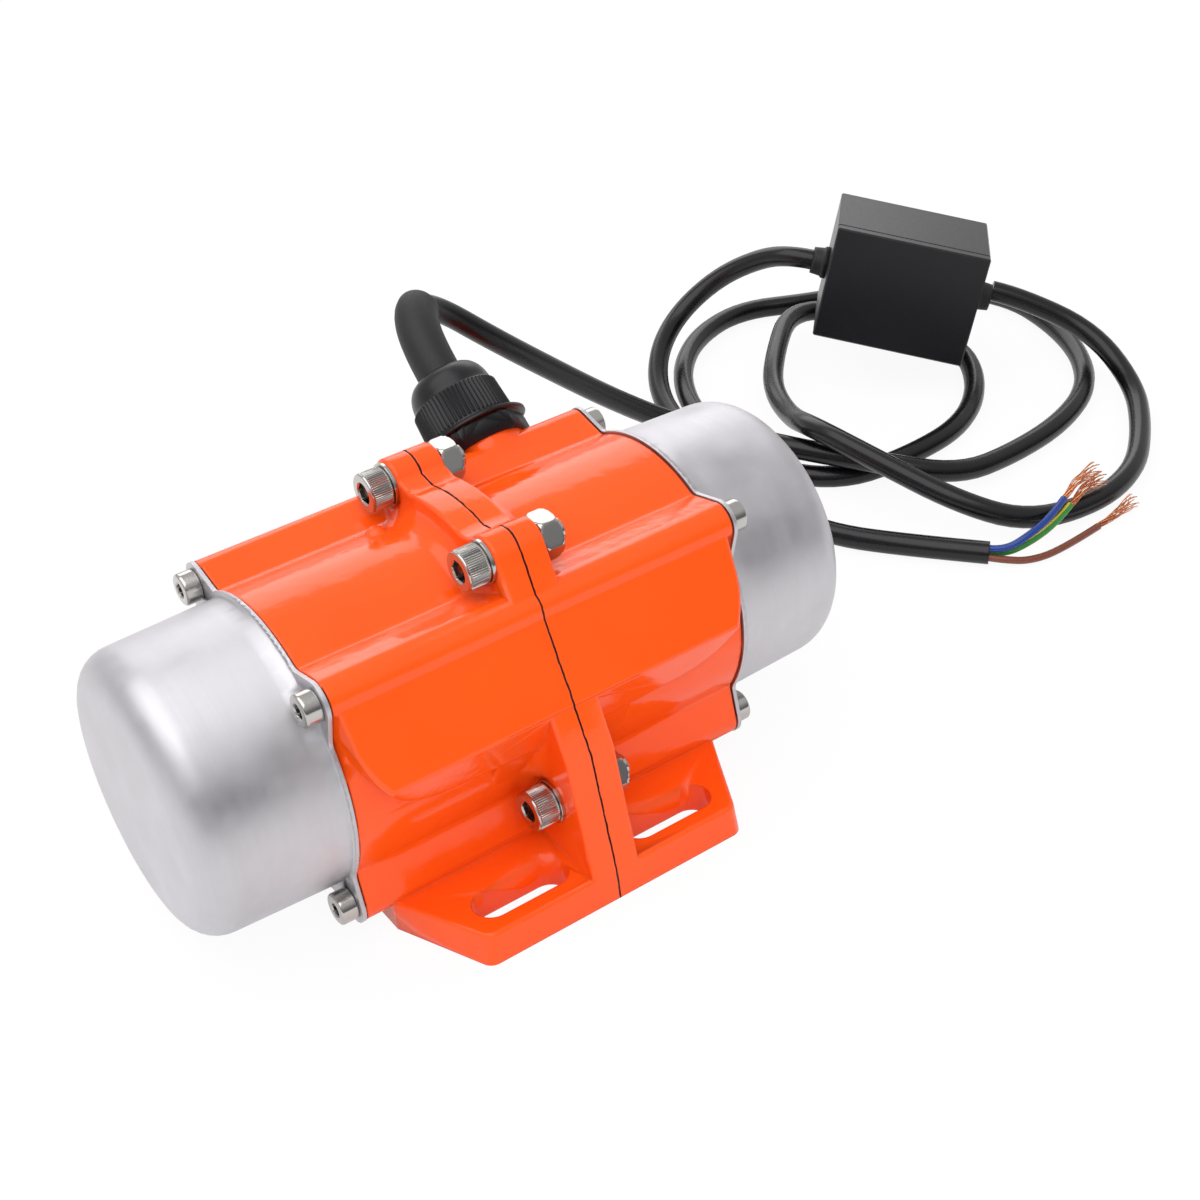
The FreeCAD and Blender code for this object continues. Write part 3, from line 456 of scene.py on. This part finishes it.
def makeTurnedTree():
    tree, given = newTree("turnedPart", [
        ("Outline", "Object", None), ("Steps", "Int", 96), ("Ridges", "Int", 48), ("Ridge Depth", "Float", 0.0),
        ("Half Flats", "Float", 0.0), ("Corner Turn", "Float", 0.0), ("Axis", "Rotation", None)])
    outline = addNode(tree, "GeometryNodeObjectInfo", links={"Object": given["Outline"]})
    size = addNode(tree, "GeometryNodeAttributeDomainSize", {"component": "MESH"},
                   {"Geometry": outline.outputs["Geometry"]})
    count = size.outputs["Point Count"]
    across = addNode(tree, "ShaderNodeMath", {"operation": "ADD", 1: 1.0}, {0: given["Steps"]})
    grid = addNode(tree, "GeometryNodeMeshGrid", {"Size X": 1.0, "Size Y": 1.0},
                   {"Vertices X": across.outputs[0], "Vertices Y": count})
    index = addNode(tree, "GeometryNodeInputIndex")
    row = addNode(tree, "ShaderNodeMath", {"operation": "MODULO"}, {0: index.outputs[0], 1: count})
    ratio = addNode(tree, "ShaderNodeMath", {"operation": "DIVIDE"}, {0: index.outputs[0], 1: count})
    column = addNode(tree, "ShaderNodeMath", {"operation": "FLOOR"}, {0: ratio.outputs[0]})
    share = addNode(tree, "ShaderNodeMath", {"operation": "DIVIDE"}, {0: column.outputs[0], 1: given["Steps"]})
    angle = addNode(tree, "ShaderNodeMath", {"operation": "MULTIPLY", 1: 2 * math.pi}, {0: share.outputs[0]})
    place = addNode(tree, "GeometryNodeInputPosition")
    sample = addNode(tree, "GeometryNodeSampleIndex", {"data_type": "FLOAT_VECTOR", "domain": "POINT"},
                     {"Geometry": outline.outputs["Geometry"], "Value": place.outputs[0], "Index": row.outputs[0]})
    point = addNode(tree, "ShaderNodeSeparateXYZ", links={0: sample.outputs["Value"]})
    radius, finish, height = point.outputs
    # the radius of a hexagon with flats at distance 1, along this angle
    turned = addNode(tree, "ShaderNodeMath", {"operation": "ADD"}, {0: angle.outputs[0], 1: given["Corner Turn"]})
    sector = addNode(tree, "ShaderNodeMath", {"operation": "FLOORED_MODULO", 1: math.pi / 3}, {0: turned.outputs[0]})
    centred = addNode(tree, "ShaderNodeMath", {"operation": "SUBTRACT", 1: math.pi / 6}, {0: sector.outputs[0]})
    cosine = addNode(tree, "ShaderNodeMath", {"operation": "COSINE"}, {0: centred.outputs[0]})
    outside = addNode(tree, "ShaderNodeMath", {"operation": "DIVIDE"}, {0: given["Half Flats"], 1: cosine.outputs[0]})
    hexagon = addNode(tree, "ShaderNodeMath", {"operation": "MINIMUM"}, {0: radius, 1: outside.outputs[0]})
    socket = addNode(tree, "ShaderNodeMath", {"operation": "DIVIDE"}, {0: radius, 1: cosine.outputs[0]})
    wave = addNode(tree, "ShaderNodeMath", {"operation": "MULTIPLY"}, {0: angle.outputs[0], 1: given["Ridges"]})
    crest = addNode(tree, "ShaderNodeMath", {"operation": "COSINE"}, {0: wave.outputs[0]})
    deep = addNode(tree, "ShaderNodeMath", {"operation": "MULTIPLY"}, {0: crest.outputs[0], 1: given["Ridge Depth"]})
    knurl = addNode(tree, "ShaderNodeMath", {"operation": "ADD"}, {0: radius, 1: deep.outputs[0]})
    chosen = radius
    for code, value in ((1, knurl), (2, hexagon), (3, socket)):
        isCode = addNode(tree, "ShaderNodeMath", {"operation": "COMPARE", 1: float(code), 2: 0.1}, {0: finish})
        mixed = addNode(tree, "ShaderNodeMix", {"data_type": "FLOAT"},
                        {0: isCode.outputs[0], 2: chosen, 3: value.outputs[0]})
        chosen = mixed.outputs[0]
    sine = addNode(tree, "ShaderNodeMath", {"operation": "SINE"}, {0: angle.outputs[0]})
    level = addNode(tree, "ShaderNodeMath", {"operation": "COSINE"}, {0: angle.outputs[0]})
    x = addNode(tree, "ShaderNodeMath", {"operation": "MULTIPLY"}, {0: chosen, 1: level.outputs[0]})
    y = addNode(tree, "ShaderNodeMath", {"operation": "MULTIPLY"}, {0: chosen, 1: sine.outputs[0]})
    spot = addNode(tree, "ShaderNodeCombineXYZ", links={0: x.outputs[0], 1: y.outputs[0], 2: height})
    shaped = addNode(tree, "GeometryNodeSetPosition",
                     links={"Geometry": grid.outputs["Mesh"], "Position": spot.outputs[0]})
    closed = addNode(tree, "GeometryNodeMergeByDistance", {"Distance": 0.003 * mm}, {"Geometry": shaped.outputs[0]})
    placed = addNode(tree, "GeometryNodeInstanceOnPoints",
                     links={"Points": given["Geometry"], "Instance": closed.outputs[0], "Rotation": given["Axis"]})
    real = addNode(tree, "GeometryNodeRealizeInstances", links={"Geometry": placed.outputs[0]})
    dressed = addNode(tree, "GeometryNodeSetMaterial", links={"Geometry": real.outputs[0]})
    addNode(tree, "NodeGroupOutput", links={"Geometry": dressed.outputs[0]})
    return tree


turnedTree = makeTurnedTree()


def turnedPiece(name, outline, places, direction, slotName, body, replaced, **values):
    # outline in mm; places are where its origin goes, and direction is where its axis points
    holder = pointsObject(name + "_outline", [(r * mm, code, z * mm) for r, code, z in outline])
    turn = Vector(direction).to_track_quat("Z", "Y").to_euler()
    values = dict(values, Outline=holder, Axis=turn)
    piece = grow(name, pointsObject(name + "_places", places), turnedTree, values, slotName)
    bpy.data.objects.remove(holder)
    work = bmesh.new()
    work.from_mesh(piece.data)
    bmesh.ops.recalc_face_normals(work, faces=work.faces)
    work.to_mesh(piece.data)
    work.free()
    piece.data.set_sharp_from_angle(angle=math.radians(35))
    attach(piece, body)
    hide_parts(replaced)
    return piece


# hexagon socket head cap screws, nickel plated: the cap screws have smooth polished heads and the
# flange bolts knurled ones. Only the radius of a head comes from the frame, the rest stands here in mm
capScrew = {"height": 4.6, "shank": 2.5, "length": 14.0, "socket": 1.8, "ridges": 0, "ridgeDepth": 0.0, "round": 0.7}
flangeBolt = {"height": 6.3, "shank": 3.0, "length": 23.0, "socket": 2.6, "ridges": 56, "ridgeDepth": 0.17,
              "round": 0.5}


def screwOutline(head, size):
    height, shank, length, socket, soft = (size[key] for key in ("height", "shank", "length", "socket", "round"))
    rim = socket / math.cos(math.pi / 6) + 0.12
    grip = head - size["ridgeDepth"]
    crown = [(head - soft + soft * math.cos(math.radians(18 * i)), 0,
              height - soft + soft * math.sin(math.radians(18 * i)))
             for i in range(6)]
    return ([(0, 0, -length), (shank - 0.4, 0, -length), (shank, 0, 0.4 - length), (shank, 0, 0), (head - 0.35, 0, 0),
             (head, 0, 0.3), (grip, 0, 0.45), (grip, 1, 0.6), (grip, 1, height - soft - 0.5),
             (grip, 0, height - soft - 0.3)]
            + crown + [(rim, 0, height), (rim - 0.12, 0, height - 0.1), (socket, 3, height - 0.35),
                       (socket, 3, height * 0.42), (socket * 0.9, 0, height * 0.4), (0, 0, height * 0.3)])


def nutOutline(half, thick, bore):
    # both faces of the nut are chamfered, so its flats look like rounded plates
    low = [(bore, 0, 0), (half * 0.95, 2, 0), (half * 1.02, 2, 0.12), (half * 1.08, 2, 0.4), (half * 1.13, 2, 0.85),
           (half * 1.16, 2, 1.4)]
    high = [(half * 1.16, 2, thick - 1.4), (half * 1.13, 2, thick - 0.85), (half * 1.08, 2, thick - 0.4),
            (half * 1.02, 2, thick - 0.12), (half * 0.95, 2, thick), (bore + 0.45, 0, thick), (bore, 0, thick - 0.4)]
    return low + high + [(bore, 0, 0)]


slotOf = {part["node"]: part["material_slot"] for part in frame["record"]["subparts"]}
bodyOf = {node: body for body, members in frame["record"]["behaviour"]["bodies"].items() for node in members}
madeElsewhere = {"motor_lead", "supply_lead", "core_blue", "core_green_yellow", "core_brown", "cap_screws_left",
                 "cap_screws_right", "flange_bolts", "flange_nuts", "flange_washers", "gland_nut", "lead_sleeve",
                 "copper_ends"}
for nodeName in sorted(nodes):
    if nodeName not in madeElsewhere:
        smoothCopy(nodeName, slotOf[nodeName], bodyOf[nodeName])

for side, sign in (("left", -1), ("right", 1)):
    spots = islands("cap_screws_" + side)
    headRadius = (spots[0][1].y - spots[0][0].y) / 2 / mm
    seats = [((low.x if sign < 0 else high.x) - sign * capScrew["height"] * mm, (low.y + high.y) / 2,
              (low.z + high.z) / 2)
             for low, high in spots]
    turnedPiece(
        "capScrews_" + side, screwOutline(headRadius, capScrew), seats, (sign, 0, 0), "zinc_steel", "housing",
        "cap_screws_" + side, Steps=96)
spots = islands("flange_bolts")
headRadius = (spots[0][1].y - spots[0][0].y) / 2 / mm
seats = [(low.x + flangeBolt["height"] * mm, (low.y + high.y) / 2, (low.z + high.z) / 2) for low, high in spots]
turnedPiece(
    "flangeBolts", screwOutline(headRadius, flangeBolt), seats, (-1, 0, 0), "zinc_steel", "housing", "flange_bolts",
    **{"Steps": 384, "Ridges": flangeBolt["ridges"], "Ridge Depth": flangeBolt["ridgeDepth"] * mm})
spots = islands("flange_nuts")
halfFlats = (spots[0][1].z - spots[0][0].z) / 2 / mm
nutThickness = (spots[0][1].x - spots[0][0].x) / mm
seats = [(low.x, (low.y + high.y) / 2, (low.z + high.z) / 2) for low, high in spots]
turnedPiece(
    "flangeNuts", nutOutline(halfFlats, nutThickness, 3.02), seats, (1, 0, 0), "zinc_steel", "housing", "flange_nuts",
    **{"Steps": 96, "Half Flats": halfFlats * mm, "Corner Turn": 0.0})
spots = islands("flange_washers")
outer = (spots[0][1].y - spots[0][0].y) / 2 / mm
seats = [(low.x, (low.y + high.y) / 2, (low.z + high.z) / 2) for low, high in spots]
washerOutline = [(3.2, 0, 0), (outer - 0.1, 0, 0), (outer, 0, 0.12), (outer, 0, 0.88), (outer - 0.1, 0, 1.0),
                 (3.2, 0, 1.0),
                 (3.2, 0, 0)]
turnedPiece(
    "flangeWashers", washerOutline, seats, (1, 0, 0), "zinc_steel", "housing", "flange_washers", Steps=72)
print("fasteners made")

# compression nut of the gland: moulded nylon with fine grip ribs and a round dome
glandNut = {"origin": (31.4, 47.5, 78.4), "tilt": 38.0, "ribs": 60, "ribDepth": 0.26, "mouth": 6.8}
rise = math.radians(glandNut["tilt"])
domeArc = [(7.2 + 4.5 * math.cos(math.radians(9 * i)), 0,
            7.3 + 7.3 * math.sin(math.radians(9 * i))) for i in range(11)]
glandOutline = ([(10.45, 0, -3.6), (12.4, 0, -3.6), (12.75, 0, -3.3), (12.75, 0, -2.7), (12.8, 1, -2.4),
                 (12.3, 1, 6.6),
                 (12.25, 0, 6.85), (12.1, 0, 7.1), (11.75, 0, 7.2)] + domeArc
                + [(glandNut["mouth"], 0, 14.4), (glandNut["mouth"], 0, 8.0), (10.45, 0, 8.0), (10.45, 0, -3.6)])
turnedPiece(
    "glandNut", glandOutline, [[value * mm for value in glandNut["origin"]]], (0, math.cos(rise), math.sin(rise)),
    "black_nylon", "housing", "gland_nut", **{"Steps": 480, "Ridges": glandNut["ribs"],
                                              "Ridge Depth": glandNut["ribDepth"] * mm})


# rubber sleeve over the first stretch of the lead

def makeSleeveTree():
    tree, given = newTree("sleeveOnLead", [("Length", "Float", 0.03), ("Radius", "Float", 0.006)])
    kept = addNode(tree, "GeometryNodeTrimCurve", {"mode": "LENGTH"}, {"Curve": given["Geometry"]})
    for socket in kept.inputs:
        if socket.name == "End" and socket.type == "VALUE" and socket.enabled:
            tree.links.new(given["Length"], socket)
    even = addNode(tree, "GeometryNodeResampleCurve", {"Count": 48}, {"Curve": kept.outputs[0]})
    along = addNode(tree, "GeometryNodeSplineParameter")
    # the last millimetre is rounded over
    near = addNode(tree, "ShaderNodeMapRange", {"From Min": 0.975, "From Max": 1.0, "To Min": 1.0, "To Max": 0.93,
                                                "interpolation_type": "SMOOTHSTEP"},
                                                {"Value": along.outputs["Factor"]})
    shaped = addNode(tree, "GeometryNodeSetCurveRadius", links={"Curve": even.outputs[0], "Radius": near.outputs[0]})
    ring = addNode(tree, "GeometryNodeCurvePrimitiveCircle", {"Resolution": 40}, {"Radius": given["Radius"]})
    tube = addNode(tree, "GeometryNodeCurveToMesh", {"Fill Caps": True},
                   {"Curve": shaped.outputs[0], "Profile Curve": ring.outputs[0]})
    if "Scale" in tube.inputs:
        reach = addNode(tree, "GeometryNodeInputRadius")
        tree.links.new(reach.outputs[0], tube.inputs["Scale"])
    real = addNode(tree, "GeometryNodeRealizeInstances", links={"Geometry": tube.outputs[0]})
    dressed = addNode(tree, "GeometryNodeSetMaterial", links={"Geometry": real.outputs[0]})
    addNode(tree, "NodeGroupOutput", links={"Geometry": dressed.outputs[0]})
    return tree


def pathObject(name, paths):
    curve = bpy.data.curves.new(name, "CURVE")
    curve.dimensions = "3D"
    for path in paths:
        spline = curve.splines.new("POLY")
        spline.points.add(len(path) - 1)
        for point, place in zip(spline.points, path):
            point.co = list(place) + [1.0]
    holder = bpy.data.objects.new(name, curve)
    scene.collection.objects.link(holder)
    return holder


sleeve = grow("leadSleeve", pathObject("leadSleeve_path", [splinePoints(motorLead)]), makeSleeveTree(),
              {"Length": cordSizes["sleeveLength"] * mm, "Radius": cordSizes["sleeve"] / 2 * mm}, "black_rubber")
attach(sleeve, "housing")
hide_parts("lead_sleeve")


# bare copper ends: loosely twisted wires that fan out

strands = {"count": 16, "wire": 0.16, "bundle": 0.95, "fan": 2.1, "turns": 0.55}


def makeStrandTree():
    tree, given = newTree("copperStrands", [
        ("Count", "Int", 16), ("Wire Radius", "Float", 0.0001), ("Bundle Radius", "Float", 0.001), ("Fan", "Float",
                                                                                                    2.0),
        ("Turns", "Float", 0.5), ("Seed", "Int", 4)])
    even = addNode(tree, "GeometryNodeResampleCurve", {"Count": 22}, {"Curve": given["Geometry"]})
    copies = addNode(tree, "GeometryNodeDuplicateElements", {"domain": "SPLINE"},
                     {"Geometry": even.outputs[0], "Amount": given["Count"]})
    number = addNode(tree, "GeometryNodeStoreNamedAttribute",
                     {"data_type": "FLOAT", "domain": "CURVE", "Name": "strand"},
                     {"Geometry": copies.outputs[0], "Value": copies.outputs["Duplicate Index"]})
    strand = addNode(tree, "GeometryNodeInputNamedAttribute", {"data_type": "FLOAT", "Name": "strand"})
    along = addNode(tree, "GeometryNodeSplineParameter")
    # each wire starts at its own place in the bundle, which twists and then opens
    chance = addNode(tree, "FunctionNodeRandomValue", {"data_type": "FLOAT", 2: -0.45, 3: 0.45},
                     {"ID": strand.outputs[0], "Seed": given["Seed"]})
    spun = addNode(tree, "ShaderNodeMath", {"operation": "MULTIPLY", 1: 2.399963}, {0: strand.outputs[0]})
    twist = addNode(tree, "ShaderNodeMath", {"operation": "MULTIPLY"}, {0: along.outputs["Factor"], 1: given["Turns"]})
    twisted = addNode(tree, "ShaderNodeMath", {"operation": "MULTIPLY_ADD", 1: 2 * math.pi},
                      {0: twist.outputs[0], 2: spun.outputs[0]})
    loose = addNode(tree, "ShaderNodeMath", {"operation": "MULTIPLY_ADD"},
                    {0: chance.outputs["Value"], 1: along.outputs["Factor"], 2: twisted.outputs[0]})
    ratio = addNode(tree, "ShaderNodeMath", {"operation": "DIVIDE"}, {0: strand.outputs[0], 1: given["Count"]})
    ring = addNode(tree, "ShaderNodeMath", {"operation": "SQRT"}, {0: ratio.outputs[0]})
    start = addNode(tree, "ShaderNodeMath", {"operation": "MULTIPLY"}, {0: ring.outputs[0], 1: given["Bundle Radius"]})
    late = addNode(tree, "ShaderNodeMath", {"operation": "POWER", 1: 2.2}, {0: along.outputs["Factor"]})
    wild = addNode(tree, "ShaderNodeMath", {"operation": "ADD"}, {0: given["Fan"], 1: chance.outputs["Value"]})
    opened = addNode(tree, "ShaderNodeMath", {"operation": "MULTIPLY_ADD", 2: 1.0},
                     {0: late.outputs[0], 1: wild.outputs[0]})
    spread = addNode(tree, "ShaderNodeMath", {"operation": "MULTIPLY"}, {0: start.outputs[0], 1: opened.outputs[0]})
    cosine = addNode(tree, "ShaderNodeMath", {"operation": "COSINE"}, {0: loose.outputs[0]})
    sine = addNode(tree, "ShaderNodeMath", {"operation": "SINE"}, {0: loose.outputs[0]})
    tangent = addNode(tree, "GeometryNodeInputTangent")
    normal = addNode(tree, "GeometryNodeInputNormal")
    beside = addNode(tree, "ShaderNodeVectorMath", {"operation": "CROSS_PRODUCT"},
                     {0: tangent.outputs[0], 1: normal.outputs[0]})
    first = addNode(tree, "ShaderNodeVectorMath", {"operation": "SCALE"},
                    {0: normal.outputs[0], "Scale": cosine.outputs[0]})
    second = addNode(tree, "ShaderNodeVectorMath", {"operation": "SCALE"},
                     {0: beside.outputs[0], "Scale": sine.outputs[0]})
    both = addNode(tree, "ShaderNodeVectorMath", {"operation": "ADD"}, {0: first.outputs[0], 1: second.outputs[0]})
    offset = addNode(tree, "ShaderNodeVectorMath", {"operation": "SCALE"},
                     {0: both.outputs[0], "Scale": spread.outputs[0]})
    moved = addNode(tree, "GeometryNodeSetPosition",
                    links={"Geometry": number.outputs[0], "Offset": offset.outputs[0]})
    section = addNode(tree, "GeometryNodeCurvePrimitiveCircle", {"Resolution": 6}, {"Radius": given["Wire Radius"]})
    wires = addNode(tree, "GeometryNodeCurveToMesh", {"Fill Caps": True},
                    {"Curve": moved.outputs[0], "Profile Curve": section.outputs[0]})
    real = addNode(tree, "GeometryNodeRealizeInstances", links={"Geometry": wires.outputs[0]})
    dressed = addNode(tree, "GeometryNodeSetMaterial", links={"Geometry": real.outputs[0]})
    addNode(tree, "NodeGroupOutput", links={"Geometry": dressed.outputs[0]})
    return tree


copperRuns = [
    [(204.0, -16.0, 11.7), (214.0, -12.0, 12.5), (225.0, -9.8, 12.2)],
    [(205.5, -17.4, 9.2), (216.0, -13.9, 10.4), (225.0, -13.2, 10.2)],
    [(213.0, -22.9, 1.4), (222.0, -22.2, 1.7), (232.0, -20.6, 2.6)],
]
copper = grow("copperStrands",
              pathObject("copper_paths", [[[value * mm for value in point] for point in run] for run in copperRuns]),
              makeStrandTree(), {"Count": strands["count"], "Wire Radius": strands["wire"] * mm, "Fan": strands["fan"],
                                 "Bundle Radius": strands["bundle"] * mm, "Turns": strands["turns"]}, "copper")
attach(copper, "housing")
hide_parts("copper_ends")
print("gland nut, sleeve and copper ends made")


# floor and light

studio = {"floorColour": "#F4F4F4", "floorWhite": 0.93, "floorMirrored": 0.5, "wallColour": "#DCDCDC",
          "roomColour": "#7E7E82", "worldStrength": 0.95, "floorReach": 3.0, "floorGap": 0.0002}
# each lamp's place, what it points at, its size, its power and whether it shows in reflections
softboxes = {
    "keySoftbox": ((-0.3, -0.02, 1.0), (0.05, 0.0, 0.03), (1.5, 1.1), 8.0, True),
    "fillSoftbox": ((-0.2, -0.9, 0.7), (0.05, 0.0, 0.04), (0.8, 0.6), 4.5, False),
    "rimSoftbox": ((0.6, 1.0, 0.6), (0.08, 0.0, 0.05), (1.2, 0.7), 4.0, True),
}


def makeStage():
    material = bpy.data.materials.new("studioFloor")
    material.use_nodes = True
    tree = material.node_tree
    tree.nodes.clear()
    diffuse = addNode(tree, "ShaderNodeBsdfDiffuse", {"Color": studio["floorColour"]})
    plain = addNode(tree, "ShaderNodeEmission", {"Color": "#FFFFFF", "Strength": 1.0})
    rays = addNode(tree, "ShaderNodeLightPath")
    seen = addNode(tree, "ShaderNodeMath", {"operation": "MAXIMUM"},
                   {0: rays.outputs["Is Camera Ray"], 1: rays.outputs["Is Transmission Ray"]})
    shown = addNode(tree, "ShaderNodeMath", {"operation": "MULTIPLY", 1: studio["floorWhite"]}, {0: seen.outputs[0]})
    mirrored = addNode(tree, "ShaderNodeMath", {"operation": "MULTIPLY", 1: studio["floorMirrored"]},
                       {0: rays.outputs["Is Glossy Ray"]})
    share = addNode(tree, "ShaderNodeMath", {"operation": "MAXIMUM"}, {0: shown.outputs[0], 1: mirrored.outputs[0]})
    mixed = addNode(tree, "ShaderNodeMixShader", links={0: share.outputs[0], 1: diffuse.outputs[0],
                                                        2: plain.outputs[0]})
    addNode(tree, "ShaderNodeOutputMaterial", links={"Surface": mixed.outputs[0]})
    mesh = bpy.data.meshes.new("floor")
    reach = studio["floorReach"]
    mesh.from_pydata([(-reach, -reach, 0), (reach, -reach, 0), (reach, reach, 0), (-reach, reach, 0)], [],
                     [(0, 1, 2, 3)])
    mesh.materials.append(material)
    floor = bpy.data.objects.new("floor", mesh)
    floor.location.z = -studio["floorGap"]
    scene.collection.objects.link(floor)


def makeWorld():
    # white all round, with the darker room behind the camera low down in front
    world = bpy.data.worlds.new("studio")
    scene.world = world
    world.use_nodes = True
    tree = world.node_tree
    tree.nodes.clear()
    rays = addNode(tree, "ShaderNodeLightPath")
    seen = addNode(tree, "ShaderNodeMath", {"operation": "MAXIMUM"},
                   {0: rays.outputs["Is Camera Ray"], 1: rays.outputs["Is Transmission Ray"]})
    direction = addNode(tree, "ShaderNodeTexCoord")
    parts = addNode(tree, "ShaderNodeSeparateXYZ", links={0: direction.outputs["Generated"]})
    front = addNode(tree, "ShaderNodeMapRange", {"From Min": -0.05, "From Max": -0.75, "To Min": 0.0, "To Max": 1.0,
                                                 "interpolation_type": "SMOOTHSTEP"}, {"Value": parts.outputs["Y"]})
    low = addNode(tree, "ShaderNodeMapRange", {"From Min": 0.75, "From Max": 0.15, "To Min": 0.0, "To Max": 1.0,
                                               "interpolation_type": "SMOOTHSTEP"}, {"Value": parts.outputs["Z"]})
    dark = addNode(tree, "ShaderNodeMath", {"operation": "MULTIPLY"}, {0: front.outputs[0], 1: low.outputs[0]})
    shade = addNode(tree, "ShaderNodeMix", {"data_type": "RGBA", 6: studio["wallColour"], 7: studio["roomColour"]},
                    {0: dark.outputs[0]})
    soft = addNode(tree, "ShaderNodeBackground", {"Strength": studio["worldStrength"]}, {"Color": shade.outputs[2]})
    plain = addNode(tree, "ShaderNodeBackground", {"Color": "#FFFFFF", "Strength": 1.0})
    mixed = addNode(tree, "ShaderNodeMixShader", links={0: seen.outputs[0], 1: soft.outputs[0], 2: plain.outputs[0]})
    addNode(tree, "ShaderNodeOutputWorld", links={"Surface": mixed.outputs[0]})


def addSoftbox(name, place, target, size, power, mirrored):
    lamp = bpy.data.lights.new(name, "AREA")
    lamp.shape = "RECTANGLE"
    lamp.size, lamp.size_y = size
    lamp.energy = power
    box = bpy.data.objects.new(name, lamp)
    box.location = place
    box.rotation_euler = (Vector(target) - Vector(place)).to_track_quat("-Z", "Y").to_euler()
    box.visible_glossy = mirrored
    scene.collection.objects.link(box)


makeStage()
makeWorld()
for name, lamp in softboxes.items():
    addSoftbox(name, *lamp)
print("stage and light set")


bpy.context.view_layer.update()
